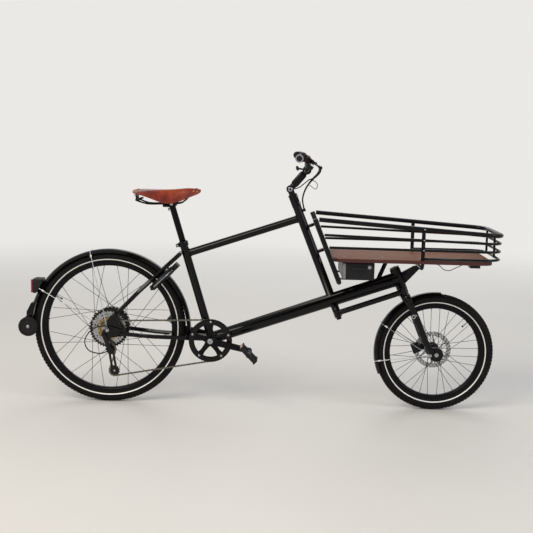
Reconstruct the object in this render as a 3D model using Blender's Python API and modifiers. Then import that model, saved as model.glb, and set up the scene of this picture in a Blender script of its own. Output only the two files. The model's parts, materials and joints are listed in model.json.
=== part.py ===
"""Electric cargo bike: rear hub motor, cargo deck over a small front wheel, steering through a tie rod.

Metres, +X forward, +Y left, +Z up. Every piece is modelled from the point on the floor under the rear axle.
The root empty then moves the whole bike, so that its origin is on the floor under the middle of its length.
"""

import math

import bmesh
import bpy
from mathutils import Matrix, Vector

# Clearances
GAP = 0.0003
SHAFT_GAP = 0.0004
TYRE_GAP = 0.0065

# Wheels
WHEELBASE = 1.400
REAR_TYRE_RADIUS = 0.3265
REAR_TYRE_WIDTH = 0.047
REAR_BEAD_RADIUS = 0.2795
FRONT_TYRE_RADIUS = 0.253
FRONT_TYRE_WIDTH = 0.050
FRONT_BEAD_RADIUS = 0.203
RIM_WIDTH = 0.029
RIM_DEPTH = 0.013
RIM_HOOK_HEIGHT = 0.004
RIM_HOOK_WALL = 0.0015
WHEEL_STEPS = 36
SPOKE_COUNT = 32
SPOKE_RADIUS = 0.0011
SPOKE_SPACING = 0.003
SPOKE_SPREAD_AT_RIM = 0.004

# Hubs and brake discs
AXLE_RADIUS = 0.005
REAR_AXLE_RADIUS = 0.007
REAR_DROPOUT_SPACING = 0.135
FRONT_DROPOUT_SPACING = 0.100
DROPOUT_THICKNESS = 0.006
MOTOR_RADIUS = 0.072
MOTOR_FLANGE_WALL = 0.006
MOTOR_RIGHT_SIDE = -0.025
MOTOR_LEFT_SIDE = 0.036
FRONT_HUB_RADIUS = 0.017
FRONT_FLANGE_RADIUS = 0.027
FRONT_FLANGE_SIDE = 0.030
FLANGE_WALL = 0.004
ROTOR_RADIUS = 0.080
ROTOR_THICKNESS = 0.002
ROTOR_WINDOW_RADIUS = 0.056
ROTOR_CARRIER_RADIUS = 0.024
FRONT_ROTOR_SIDE = 0.0445
REAR_ROTOR_SIDE = 0.052

# Steering geometry
STEER_TILT = math.radians(22.3)
FORK_RAKE = 0.035
COLUMN_FOOT_X = 0.974
COLUMN_FOOT_Z = 0.420

# Frame tubes
BOTTOM_BRACKET_X = 0.437
BOTTOM_BRACKET_Z = 0.287
SEAT_TUBE_TILT = math.radians(17.2)
SEAT_TUBE_LENGTH = 0.436
SEAT_TUBE_RADIUS = 0.017
TOP_TUBE_RADIUS = 0.0159
TOP_TUBE_REAR = SEAT_TUBE_LENGTH - 0.054
TOP_TUBE_FRONT = 0.430
MAIN_TUBE_RADIUS = 0.0254
MAIN_TUBE_FRONT = 0.360
COLUMN_TUBE_RADIUS = 0.018
COLUMN_TUBE_BOTTOM = 0.022
STEM_PIVOT_HEIGHT = 0.5607
COLUMN_TUBE_TOP = STEM_PIVOT_HEIGHT - 0.0797
HEAD_TUBE_RADIUS = 0.0225
HEAD_TUBE_BOTTOM = 0.289
HEAD_TUBE_TOP = 0.395
SHELL_RADIUS = 0.021
SHELL_WIDTH = 0.068
SHELL_WALL = 0.0035
STAY_RADIUS = 0.0095
STAY_BRIDGE_RADIUS = 0.007
SEAT_STAY_TOP = SEAT_TUBE_LENGTH - 0.048

# Shafts
STEERING_SHAFT_RADIUS = 0.0125
FORK_STEERER_RADIUS = 0.014
SEATPOST_RADIUS = 0.0136
SEATPOST_FOOT = 0.270
SPINDLE_RADIUS = 0.0089

# Tie rod
ROD_SIDE = -0.055
ROD_RADIUS = 0.0125
ROD_PIN_RADIUS = 0.004
ROD_ARM_WALL = 0.014
ROD_FRONT_PLAY = 0.001

# Fork
CROWN_BOTTOM = 0.2655
CROWN_WALL = 0.020
CROWN_DEPTH = 0.038
ROD_HEIGHT_ON_FORK = CROWN_BOTTOM + CROWN_WALL + ROD_RADIUS + 0.005
LEG_SIDE = 0.0645
LEG_RADIUS = 0.0135
LEG_FORWARD = 0.012
FORK_END_RADIUS = 0.030
FORK_END_WALL = 0.018

# Mudguards
GUARD_WALL = 0.0015
REAR_GUARD_RADIUS = 0.350
REAR_GUARD_DROP = 0.011
REAR_GUARD_WIDTH = 0.062
FRONT_GUARD_WIDTH = 0.060
GUARD_CROWN = 0.010
GUARD_STAY_RADIUS = 0.0018

# Drive
CHAIN_SIDE = -0.050
CHAIN_PITCH = 0.0127
CHAIN_WIDTH = 0.0056
CHAIN_HEIGHT = 0.008
CHAINRING_TEETH = 44
CHAINRING_WALL = 0.0028
CHAIN_GUARD_RADIUS = 0.093
CRANK_LENGTH = 0.170
CRANK_ANGLE = math.radians(-12.4)
CRANK_SIDE = 0.067
CRANK_WALL = 0.012
PEDAL_SIDE = 0.128
PEDAL_WIDTH = 0.092
PEDAL_LENGTH = 0.088
PEDAL_WALL = 0.022
PEDAL_TILT = math.radians(45.0)
SPROCKETS = (42, 36, 30, 24, 20, 17, 13)
SPROCKET_IN_USE = 5
SPROCKET_PITCH = 0.0042
SPROCKET_WALL = 0.0018
TOOTH_TIP = 0.003
PULLEY_TEETH = 11
GUIDE_PULLEY_X = 0.010
GUIDE_PULLEY_Z = 0.238
CAGE_LENGTH = 0.0945
CAGE_TILT = math.radians(10.4)

# Cargo bay
DECK_REAR_X = 0.940
DECK_FRONT_X = 1.600
DECK_TOP_Z = 0.670
DECK_WALL = 0.015
DECK_WIDTH = 0.380
DECK_CORNER_RADIUS = 0.055
BASKET_WIDTH = 0.406
BASKET_FRONT_X = 1.635
BASKET_CORNER_RADIUS = 0.070
BASKET_POST_X = 1.310
BASKET_TUBE_RADIUS = 0.0095
BASKET_ROD_RADIUS = 0.0055
BASKET_TOP_Z = 0.799
BASKET_UPPER_Z = 0.754
BASKET_MIDDLE_Z = 0.7127
BASKET_LOWER_Z = 0.6775
FRONT_POST_SIDE = 0.080
HOOP_RADIUS = 0.008
HOOP_BOTTOM_Z = 0.625
BULKHEAD_TUBE_RADIUS = 0.0105
BULKHEAD_TOP_Z = 0.830
BULKHEAD_BOTTOM_Z = 0.566
BULKHEAD_AHEAD_OF_COLUMN = 0.0575
BATTERY_LENGTH = 0.130
BATTERY_WIDTH = 0.340
BATTERY_HEIGHT = 0.072

# Seat
SADDLE_REAR_X = 0.093
SADDLE_LENGTH = 0.285
SADDLE_WIDTH = 0.168
SADDLE_NOSE_WIDTH = 0.040
SADDLE_TOP_Z = 0.926
SADDLE_SKIRT = 0.052
LEATHER_WALL = 0.004
RIVET_RADIUS = 0.0025

# Cables
HOSE_RADIUS = 0.0026
HOSE_START_AHEAD = 0.0317
HOSE_START_RISE = -0.0177
RAIL_RADIUS = 0.0035
RAIL_SIDE = 0.022
RAIL_Z = 0.866
SEATPOST_HEAD = 0.856

# Handlebar
STEM_BASE_RADIUS = 0.019
STEM_EAR_WALL = 0.006
STEM_ARM_RADIUS = 0.0135
BAR_X = 0.830
BAR_Z = 1.021
BAR_RADIUS = 0.0111
BAR_HALF_WIDTH = 0.310
GRIP_RADIUS = 0.0165
GRIP_LENGTH = 0.115
LEVER_MOUNT_SIDE = BAR_HALF_WIDTH - GRIP_LENGTH - 0.017
SHIFTER_SIDE = -LEVER_MOUNT_SIDE + 0.048

FINISHES = {
    "gloss_black": ((0.012, 0.012, 0.013), 0.22, 0.0),
    "satin_black": ((0.02, 0.02, 0.021), 0.45, 0.0),
    "black_plastic": ((0.03, 0.03, 0.03), 0.55, 0.0),
    "rubber": ((0.035, 0.034, 0.032), 0.85, 0.0),
    "steel": ((0.55, 0.55, 0.56), 0.32, 1.0),
    "aluminium": ((0.62, 0.62, 0.63), 0.38, 1.0),
    "brass": ((0.62, 0.47, 0.25), 0.35, 1.0),
    "leather": ((0.33, 0.11, 0.035), 0.42, 0.0),
    "plywood": ((0.16, 0.065, 0.03), 0.5, 0.0),
    "red_lens": ((0.5, 0.01, 0.015), 0.2, 0.0),
}


def make_collection(name):
    """A collection in the scene."""
    made = bpy.data.collections.new(name)
    bpy.context.scene.collection.children.link(made)
    return made


for leftover in list(bpy.data.objects):
    bpy.data.objects.remove(leftover)
PARTS = make_collection("electric_cargo_bike")
CUTTERS = make_collection("cutters")

# Points and directions that the pieces share
SIDE = Vector((0.0, 1.0, 0.0))
UP = Vector((0.0, 0.0, 1.0))
FORWARD = Vector((1.0, 0.0, 0.0))
STEER_UP = Vector((-math.sin(STEER_TILT), 0.0, math.cos(STEER_TILT)))
STEER_FORWARD = Vector((math.cos(STEER_TILT), 0.0, math.sin(STEER_TILT)))
SEAT_UP = Vector((-math.sin(SEAT_TUBE_TILT), 0.0, math.cos(SEAT_TUBE_TILT)))
REAR_AXLE = Vector((0.0, 0.0, REAR_TYRE_RADIUS))
FRONT_AXLE = Vector((WHEELBASE, 0.0, FRONT_TYRE_RADIUS))
BOTTOM_BRACKET = Vector((BOTTOM_BRACKET_X, 0.0, BOTTOM_BRACKET_Z))
COLUMN_FOOT = Vector((COLUMN_FOOT_X, 0.0, COLUMN_FOOT_Z))
FORK_FOOT = FRONT_AXLE - FORK_RAKE * STEER_FORWARD


def on_column(height, forward=0.0, side=0.0):
    """A point by its height along the steering column's axis, ahead of it and to its left."""
    return COLUMN_FOOT + height * STEER_UP + forward * STEER_FORWARD + side * SIDE


def on_fork(height, forward=0.0, side=0.0):
    """A point by its height along the fork's axis, ahead of it and to its left."""
    return FORK_FOOT + height * STEER_UP + forward * STEER_FORWARD + side * SIDE


def on_seat_tube(height, forward=0.0, side=0.0):
    """A point by its distance up the seat tube from the bottom bracket."""
    ahead = Vector((SEAT_UP.z, 0.0, -SEAT_UP.x))
    return BOTTOM_BRACKET + height * SEAT_UP + forward * ahead + side * SIDE


def column_at_level(level):
    """The point of the column's axis at a height above the floor."""
    return on_column((level - COLUMN_FOOT_Z) / STEER_UP.z)


def polar(centre, radius, angle, side=0.0):
    """A point round a centre in the XZ plane: angle 0 is forward and a quarter turn is up."""
    return centre + Vector((radius * math.cos(angle), side, radius * math.sin(angle)))


def pitch_radius(teeth):
    """The radius of a chain on a sprocket."""
    return CHAIN_PITCH / (2 * math.sin(math.pi / teeth))


def pivot(name, place, parent):
    """An empty on a joint's axis, which the pieces that move with the joint hang from."""
    empty = bpy.data.objects.new(name, None)
    empty.empty_display_size = 0.03
    PARTS.objects.link(empty)
    empty.parent = parent
    empty["place"] = tuple(place)
    empty.location = Vector(place) - Vector(parent["place"] if parent else (0.0, 0.0, 0.0))
    return empty


def shape_object(mesh):
    """A loose shape, kept with the cutters until a piece takes it."""
    shape = bpy.data.objects.new("shape", mesh)
    CUTTERS.objects.link(shape)
    return shape


def shape_from(bm):
    """A loose shape from a finished bmesh."""
    bmesh.ops.recalc_face_normals(bm, faces=bm.faces)
    mesh = bpy.data.meshes.new("shape")
    bm.to_mesh(mesh)
    bm.free()
    return shape_object(mesh)


def frozen(source):
    """The shape that an object's curve or modifiers make, as a mesh with its seams closed."""
    graph = bpy.context.evaluated_depsgraph_get()
    mesh = bpy.data.meshes.new_from_object(source.evaluated_get(graph))
    bm = bmesh.new()
    bm.from_mesh(mesh)
    bm.transform(source.matrix_world)
    bmesh.ops.remove_doubles(bm, verts=bm.verts, dist=0.000001)
    bpy.data.objects.remove(source)
    bpy.data.meshes.remove(mesh)
    return shape_from(bm)


def rod(start, end, radius, sides=12, end_radius=None):
    """A cylinder or cone between two points."""
    axis = Vector(end) - Vector(start)
    turn = axis.to_track_quat("Z", "Y").to_matrix().to_4x4()
    middle = Matrix.Translation((Vector(start) + Vector(end)) / 2)
    bm = bmesh.new()
    bmesh.ops.create_cone(
        bm,
        cap_ends=True,
        segments=sides,
        radius1=radius,
        radius2=radius if end_radius is None else end_radius,
        depth=axis.length,
        matrix=middle @ turn,
    )
    return shape_from(bm)


def across(centre, start, end, radius, sides=12, end_radius=None):
    """A cylinder or cone along Y, from one side distance to another."""
    return rod(centre + start * SIDE, centre + end * SIDE, radius, sides, end_radius)


def block(lowest, highest, turn=0.0):
    """A box between two corners, turned about Y round its middle."""
    low, high = Vector(lowest), Vector(highest)
    size = Matrix.Diagonal((*(high - low), 1.0))
    middle = Matrix.Translation((low + high) / 2)
    bm = bmesh.new()
    bmesh.ops.create_cube(bm, size=1.0, matrix=middle @ Matrix.Rotation(turn, 4, "Y") @ size)
    return shape_from(bm)


def slab(centre, length, width, height, along=STEER_FORWARD):
    """A box round a centre: length goes along a direction in the XZ plane, width along Y."""
    ahead = Vector(along).normalized()
    up = ahead.cross(SIDE)
    turn = Matrix((ahead, SIDE, up)).transposed().to_4x4()
    size = Matrix.Diagonal((length, width, height, 1.0))
    bm = bmesh.new()
    bmesh.ops.create_cube(bm, size=1.0, matrix=Matrix.Translation(centre) @ turn @ size)
    return shape_from(bm)


def curve_object(points, closed=False):
    """A poly curve through the points."""
    curve = bpy.data.curves.new("path", "CURVE")
    curve.dimensions = "3D"
    curve.use_fill_caps = True
    spline = curve.splines.new("POLY")
    spline.points.add(len(points) - 1)
    for knot, point in zip(spline.points, points):
        knot.co = (*point, 1.0)
    spline.use_cyclic_u = closed
    path = bpy.data.objects.new("path", curve)
    CUTTERS.objects.link(path)
    return path


def pipe(points, radius, resolution=2, tilt=0.0):
    """A round bar that follows the points. At resolution 0 it is square, and a tilt turns its section."""
    path = curve_object(points)
    for knot in path.data.splines[0].points:
        knot.tilt = tilt
    path.data.bevel_depth = radius
    path.data.bevel_resolution = resolution
    return frozen(path)


def rounded(points, radius, steps=3, closed=False):
    """The points with each corner replaced by an arc-like bend of that radius."""
    route = [Vector(point) for point in points]
    count = len(route)
    bent = []
    for index, corner in enumerate(route):
        if not closed and index in (0, count - 1):
            bent.append(corner)
            continue
        before = route[index - 1] - corner
        after = route[(index + 1) % count] - corner
        reach = min(radius, before.length / 2, after.length / 2)
        start = corner + before.normalized() * reach
        end = corner + after.normalized() * reach
        for step in range(steps + 1):
            share = step / steps
            bent.append(
                (1 - share) ** 2 * start + 2 * share * (1 - share) * corner + share**2 * end
            )
    return bent


def plate(outline, start, end):
    """A flat outline of (x, z) points with a thickness between two side distances."""
    curve = bpy.data.curves.new("outline", "CURVE")
    curve.dimensions = "2D"
    curve.fill_mode = "BOTH"
    curve.extrude = abs(end - start) / 2
    spline = curve.splines.new("POLY")
    spline.points.add(len(outline) - 1)
    for knot, (x, z) in zip(spline.points, outline):
        knot.co = (x, z, 0.0, 1.0)
    spline.use_cyclic_u = True
    flat = bpy.data.objects.new("outline", curve)
    CUTTERS.objects.link(flat)
    flat.rotation_euler.x = math.pi / 2
    flat.location.y = (start + end) / 2
    bpy.context.view_layer.update()
    return frozen(flat)


def turned(profile, centre, steps=24, sweep=math.tau, closed=True):
    """A ring or solid turned about the Y axis through a centre. The profile's points are (radius, side)."""
    mesh = bpy.data.meshes.new("profile")
    edges = [(i, i + 1) for i in range(len(profile) - 1)]
    if closed:
        edges.append((len(profile) - 1, 0))
    mesh.from_pydata([(radius, side, 0.0) for radius, side in profile], edges, [])
    lathe = bpy.data.objects.new("profile", mesh)
    CUTTERS.objects.link(lathe)
    screw = lathe.modifiers.new("turn", "SCREW")
    screw.axis = "Y"
    screw.angle = sweep
    screw.steps = steps
    screw.render_steps = steps
    screw.use_merge_vertices = True
    screw.merge_threshold = 0.00001
    lathe.location = centre
    bpy.context.view_layer.update()
    return frozen(lathe)


def ring(centre, outer, inner, start, end, steps=24):
    """A flat ring about the Y axis. The flats of its hole lie at the inner radius."""
    hole = inner / math.cos(math.pi / steps)
    return turned([(outer, end), (outer, start), (hole, start), (hole, end)], centre, steps)


def bore(start, end, radius, sides=16):
    """A cutter for a round hole, whose flats lie at the radius, so that a shaft can turn in it."""
    return rod(start, end, radius / math.cos(math.pi / sides), sides)


def bore_across(centre, start, end, radius, sides=16):
    """A cutter for a round hole along Y."""
    return bore(centre + start * SIDE, centre + end * SIDE, radius, sides)


def combine(operation, base, others, name):
    """Adds a Boolean for each other shape, which stays hidden beside its piece."""
    for index, other in enumerate(others):
        other.name = f"{name}_{operation.lower()}_{index + 1}"
        other.hide_render = True
        other.display_type = "WIRE"
        change = base.modifiers.new(other.name, "BOOLEAN")
        change.operation = operation
        change.solver = "EXACT"
        change.object = other


def piece(name, finish, body, shapes, cuts=()):
    """A named piece on a body: its shapes joined, and the cuts taken out of them."""
    base, *others = shapes
    base.name = name
    base.data.name = name
    CUTTERS.objects.unlink(base)
    PARTS.objects.link(base)
    home = Matrix.Translation(-Vector(body["place"]))
    for shape in (*shapes, *cuts):
        shape.data.transform(home)
        shape.data.shade_smooth()
        shape.data.set_sharp_from_angle(angle=math.radians(32))
        shape.parent = body
    combine("UNION", base, others, name)
    combine("DIFFERENCE", base, cuts, name)
    colour, roughness, metallic = FINISHES[finish]
    look = bpy.data.materials.new(f"{name}_{finish}")
    look.use_nodes = True
    shader = look.node_tree.nodes["Principled BSDF"]
    shader.inputs["Base Color"].default_value = (*colour, 1.0)
    shader.inputs["Roughness"].default_value = roughness
    shader.inputs["Metallic"].default_value = metallic
    look.diffuse_color = (*colour, 1.0)
    base.data.materials.append(look)
    return base


ROOT = pivot("electric_cargo_bike_origin", (0.0, 0.0, 0.0), None)

# Wheels


def wheel(prefix, body, axle, tyre_radius, tyre_width, bead_radius, flange_radius, flange_sides):
    """A tyre seated between the hooks of a rim, whose crossed spokes reach the hub's flanges."""
    half = RIM_WIDTH / 2
    rim_inner = bead_radius - RIM_DEPTH
    hook_inner = half - RIM_HOOK_WALL
    channel = [
        (bead_radius + RIM_HOOK_HEIGHT, half),
        (bead_radius + RIM_HOOK_HEIGHT, hook_inner),
        (bead_radius, hook_inner),
    ]
    outside = [(rim_inner, -half * 0.6), (rim_inner, half * 0.6)]
    near = [(radius, -side) for radius, side in reversed(channel)]
    rim = turned([*channel, *near, *outside], axle, WHEEL_STEPS)
    seat = bead_radius + GAP
    shoulder = (bead_radius + tyre_radius) / 2
    section = [
        (seat, hook_inner - 0.0025),
        (shoulder, tyre_width / 2),
        (tyre_radius - 0.007, tyre_width * 0.36),
        (tyre_radius, tyre_width * 0.1),
    ]
    mirrored = [(radius, -side) for radius, side in reversed(section)]
    tyre = turned([*section, *mirrored], axle, WHEEL_STEPS)
    piece(f"{prefix}_tyre", "rubber", body, [tyre])
    spokes = []
    rim_end = rim_inner + RIM_DEPTH / 3
    for index in range(SPOKE_COUNT):
        flange = flange_sides[index % 2]
        inward = math.copysign(SPOKE_SPACING / 2, flange) * (1 if index % 4 < 2 else -1)
        lean = math.radians(62.0 if index % 4 < 2 else -62.0)
        angle = (index + 0.5) * math.tau / SPOKE_COUNT
        root = polar(axle, flange_radius, angle + lean, flange - inward)
        tip = polar(axle, rim_end, angle, math.copysign(SPOKE_SPREAD_AT_RIM, flange) - inward)
        spokes.append(rod(root, tip, SPOKE_RADIUS, 3))
    piece(f"{prefix}_rim", "satin_black", body, [rim, *spokes])


def rotor(name, body, axle, side, bore):
    """A brake disc: a friction band on five arms."""
    band = ring(
        axle, ROTOR_RADIUS, ROTOR_WINDOW_RADIUS, side - ROTOR_THICKNESS / 2, side + ROTOR_THICKNESS / 2, 24
    )
    carrier = ring(
        axle, ROTOR_CARRIER_RADIUS, bore, side - ROTOR_THICKNESS / 2, side + ROTOR_THICKNESS / 2, 12
    )
    arms = []
    for index in range(5):
        angle = index * math.tau / 5
        middle = polar(axle, (ROTOR_CARRIER_RADIUS + ROTOR_WINDOW_RADIUS) / 2, angle, side)
        length = ROTOR_WINDOW_RADIUS - ROTOR_CARRIER_RADIUS + 0.008
        arms.append(slab(middle, length, ROTOR_THICKNESS * 0.9, 0.008, middle - axle - side * SIDE))
    piece(name, "steel", body, [band, *arms, carrier])


def make_front_wheel(body):
    hub_end = FRONT_DROPOUT_SPACING / 2 - SHAFT_GAP
    bore = AXLE_RADIUS + SHAFT_GAP
    flange_outer = FRONT_FLANGE_SIDE + FLANGE_WALL
    flange_inner = FRONT_FLANGE_SIDE - FLANGE_WALL
    half = [
        (FRONT_HUB_RADIUS, flange_inner),
        (FRONT_FLANGE_RADIUS, flange_inner),
        (FRONT_FLANGE_RADIUS, flange_outer),
        (FRONT_HUB_RADIUS * 0.8, flange_outer),
        (FRONT_HUB_RADIUS * 0.8, FRONT_ROTOR_SIDE + ROTOR_THICKNESS / 2),
        (FRONT_HUB_RADIUS * 0.6, hub_end),
        (bore, hub_end),
    ]
    hub = turned([*half, *[(radius, -side) for radius, side in reversed(half)]], FRONT_AXLE, 16)
    piece("front_hub", "satin_black", body, [hub])
    sides = (-FRONT_FLANGE_SIDE, FRONT_FLANGE_SIDE)
    wheel(
        "front",
        body,
        FRONT_AXLE,
        FRONT_TYRE_RADIUS,
        FRONT_TYRE_WIDTH,
        FRONT_BEAD_RADIUS,
        FRONT_FLANGE_RADIUS + SPOKE_RADIUS + GAP,
        sides,
    )
    rotor("front_rotor", body, FRONT_AXLE, FRONT_ROTOR_SIDE, FRONT_HUB_RADIUS * 0.8 + GAP)


def make_rear_wheel(body):
    bore = REAR_AXLE_RADIUS + SHAFT_GAP
    boss = ROTOR_CARRIER_RADIUS * 0.75
    motor = turned(
        [
            (MOTOR_RADIUS, MOTOR_LEFT_SIDE),
            (MOTOR_RADIUS, MOTOR_RIGHT_SIDE),
            (bore, MOTOR_RIGHT_SIDE),
            (bore, REAR_DROPOUT_SPACING / 2 - 0.004),
            (boss, REAR_DROPOUT_SPACING / 2 - 0.004),
            (boss, MOTOR_LEFT_SIDE + 0.006),
        ],
        REAR_AXLE,
        28,
    )
    piece("hub_motor", "gloss_black", body, [motor])
    wheel(
        "rear",
        body,
        REAR_AXLE,
        REAR_TYRE_RADIUS,
        REAR_TYRE_WIDTH,
        REAR_BEAD_RADIUS,
        MOTOR_RADIUS + SPOKE_RADIUS + GAP,
        (MOTOR_RIGHT_SIDE + MOTOR_FLANGE_WALL, MOTOR_LEFT_SIDE - MOTOR_FLANGE_WALL),
    )
    rotor("rear_rotor", body, REAR_AXLE, REAR_ROTOR_SIDE, boss + GAP)


# Drive

REAR_SPROCKET_RADIUS = pitch_radius(SPROCKETS[SPROCKET_IN_USE])
CHAINRING_RADIUS = pitch_radius(CHAINRING_TEETH)
PULLEY_RADIUS = pitch_radius(PULLEY_TEETH)
CHAIN_SEAT = CHAIN_HEIGHT / 2 + GAP
GUIDE_PULLEY = Vector((GUIDE_PULLEY_X, 0.0, GUIDE_PULLEY_Z))
TENSION_PULLEY = GUIDE_PULLEY + CAGE_LENGTH * Vector((math.sin(CAGE_TILT), 0.0, -math.cos(CAGE_TILT)))


def tangent_normal(start, end, start_radius, end_radius):
    """The direction that is square to the line touching two circles. A radius below 0 turns the other way."""
    along = end - start
    share = (start_radius - end_radius) / along.length
    ahead = along.normalized()
    outward = Vector((ahead.z, 0.0, -ahead.x))
    return share * ahead + math.sqrt(1 - share**2) * outward


def chain_path(step=math.radians(15.0)):
    """The chain's loop: chainring, top run, sprocket, guide pulley, tension pulley and lower run."""
    wheels = [
        (BOTTOM_BRACKET, CHAINRING_RADIUS),
        (REAR_AXLE, REAR_SPROCKET_RADIUS),
        (GUIDE_PULLEY, -PULLEY_RADIUS),
        (TENSION_PULLEY, PULLEY_RADIUS),
    ]
    count = len(wheels)
    normals = []
    for index, (centre, radius) in enumerate(wheels):
        after, after_radius = wheels[(index + 1) % count]
        normals.append(tangent_normal(centre, after, radius, after_radius))
    path = []
    for index, (centre, radius) in enumerate(wheels):
        arriving = normals[index - 1] * radius
        leaving = normals[index] * radius
        start = math.atan2(arriving.z, arriving.x)
        turn = (math.atan2(leaving.z, leaving.x) - start) % math.tau
        if radius < 0:
            turn -= math.tau
        bends = max(2, round(abs(turn) / (step if abs(radius) > 0.05 else 2 * step)))
        reach = abs(radius) / math.cos(turn / bends / 2)
        for bend in range(bends + 1):
            path.append(polar(centre, reach, start + turn * bend / bends, CHAIN_SIDE))
    return path


def make_chain(body):
    """The chain as one band of square section."""
    path = curve_object(chain_path(), closed=True)
    path.data.bevel_mode = "OBJECT"
    section = curve_object(
        [
            (-CHAIN_WIDTH / 2, -CHAIN_HEIGHT / 2, 0.0),
            (CHAIN_WIDTH / 2, -CHAIN_HEIGHT / 2, 0.0),
            (CHAIN_WIDTH / 2, CHAIN_HEIGHT / 2, 0.0),
            (-CHAIN_WIDTH / 2, CHAIN_HEIGHT / 2, 0.0),
        ],
        closed=True,
    )
    path.data.bevel_object = section
    path.data.twist_mode = "Z_UP"
    band = frozen(path)
    bpy.data.objects.remove(section)
    piece("chain", "steel", body, [band])


def make_cranks(body):
    """Chainring, spindle and both cranks, with the pedals' axles."""
    wall = CHAINRING_WALL / 2
    teeth = ring(
        BOTTOM_BRACKET, CHAINRING_RADIUS - CHAIN_SEAT, 0.070, CHAIN_SIDE - wall, CHAIN_SIDE + wall, 30
    )
    guard_inner = CHAIN_SIDE - CHAIN_WIDTH / 2 - 0.0024
    guard = ring(BOTTOM_BRACKET, CHAIN_GUARD_RADIUS, 0.079, guard_inner - 0.0018, guard_inner, 30)
    hub = ring(BOTTOM_BRACKET, 0.024, SPINDLE_RADIUS + GAP, guard_inner - 0.0014, CHAIN_SIDE, 20)
    arms = []
    for index in range(5):
        angle = math.radians(18.0) + index * math.tau / 5
        inner = polar(BOTTOM_BRACKET, 0.016, angle)
        outer = polar(BOTTOM_BRACKET, 0.0815, angle)
        middle = (inner + outer) / 2 + (guard_inner + CHAIN_SIDE) / 2 * SIDE
        depth = CHAIN_SIDE - guard_inner + 0.0006
        arms.append(slab(middle, (outer - inner).length, depth, 0.016, outer - inner))
    piece("chainring", "satin_black", body, [teeth, *arms, guard, hub])
    for name, sign, angle in (("right_crank", -1, CRANK_ANGLE), ("left_crank", 1, CRANK_ANGLE + math.pi)):
        inner = sign * CRANK_SIDE - sign * CRANK_WALL / 2
        outer = inner + sign * CRANK_WALL
        end = polar(BOTTOM_BRACKET, CRANK_LENGTH, angle)
        middle = (BOTTOM_BRACKET + end) / 2 + sign * CRANK_SIDE * SIDE
        arm = slab(middle, CRANK_LENGTH, CRANK_WALL - 0.001, 0.022, end - BOTTOM_BRACKET)
        boss = across(BOTTOM_BRACKET, inner, outer, 0.017, 20)
        eye = across(end, inner, outer, 0.0135, 16)
        pin = across(end, outer - sign * 0.002, sign * (PEDAL_SIDE + PEDAL_WIDTH / 2 - 0.006), AXLE_RADIUS, 12)
        shapes = [boss, arm, eye, pin]
        cuts = []
        if sign < 0:
            shapes.append(across(BOTTOM_BRACKET, inner - 0.002, CRANK_SIDE, SPINDLE_RADIUS, 16))
        else:
            cuts.append(bore_across(BOTTOM_BRACKET, 0.0, outer - 0.003, SPINDLE_RADIUS + GAP))
        piece(name, "gloss_black", body, shapes, cuts)


def pedal_axle(sign):
    """Where a crank carries its pedal."""
    angle = CRANK_ANGLE if sign < 0 else CRANK_ANGLE + math.pi
    return polar(BOTTOM_BRACKET, CRANK_LENGTH, angle)


def make_pedal(name, body, sign):
    """A platform pedal: an axle housing between two tread bars, joined by end plates."""
    axle = pedal_axle(sign)
    inner = sign * (PEDAL_SIDE - PEDAL_WIDTH / 2)
    outer = sign * (PEDAL_SIDE + PEDAL_WIDTH / 2)
    along = Vector((math.cos(PEDAL_TILT), 0.0, -math.sin(PEDAL_TILT)))
    housing = across(axle, inner, outer, 0.0105, 12)
    shapes = [housing]
    for place in (-1, 1):
        bar = axle + place * (PEDAL_LENGTH / 2 - 0.006) * along + sign * PEDAL_SIDE * SIDE
        shapes.append(slab(bar, 0.012, PEDAL_WIDTH, PEDAL_WALL, along))
    for side in (inner + sign * 0.005, outer - sign * 0.005):
        plate_middle = axle + side * SIDE
        shapes.append(slab(plate_middle, PEDAL_LENGTH - 0.004, 0.0098, PEDAL_WALL * 0.7, along))
    room = bore_across(axle, inner - sign * 0.001, outer - sign * 0.004, AXLE_RADIUS + SHAFT_GAP, 12)
    piece(name, "black_plastic", body, shapes, [room])


def make_cassette(body):
    """Sprockets on one drum. The one that carries the chain is cut down to the chain's inner side."""
    first = CHAIN_SIDE + SPROCKET_IN_USE * SPROCKET_PITCH
    profile = []
    drum = 0.0155
    for index, teeth in enumerate(SPROCKETS):
        middle = first - index * SPROCKET_PITCH
        radius = pitch_radius(teeth) + TOOTH_TIP
        if index == SPROCKET_IN_USE:
            radius = pitch_radius(teeth) - CHAIN_SEAT
        near = middle - SPROCKET_WALL / 2
        far = middle + SPROCKET_WALL / 2
        profile += [(drum, far), (radius, far), (radius, near), (drum, near)]
    last = profile[-1][1] - 0.003
    bore = REAR_AXLE_RADIUS + SHAFT_GAP
    profile += [(drum, last), (bore, last), (bore, profile[0][1])]
    piece("cassette", "steel", body, [turned(profile[1:], REAR_AXLE, 20)])


def pulley(name, body, centre):
    """A pulley inside the chain's bend."""
    wall = CHAINRING_WALL / 2
    wheel_ring = ring(
        centre, PULLEY_RADIUS - CHAIN_SEAT, 0.0025 + SHAFT_GAP, CHAIN_SIDE - wall, CHAIN_SIDE + wall, 16
    )
    piece(name, "black_plastic", body, [wheel_ring])


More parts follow.
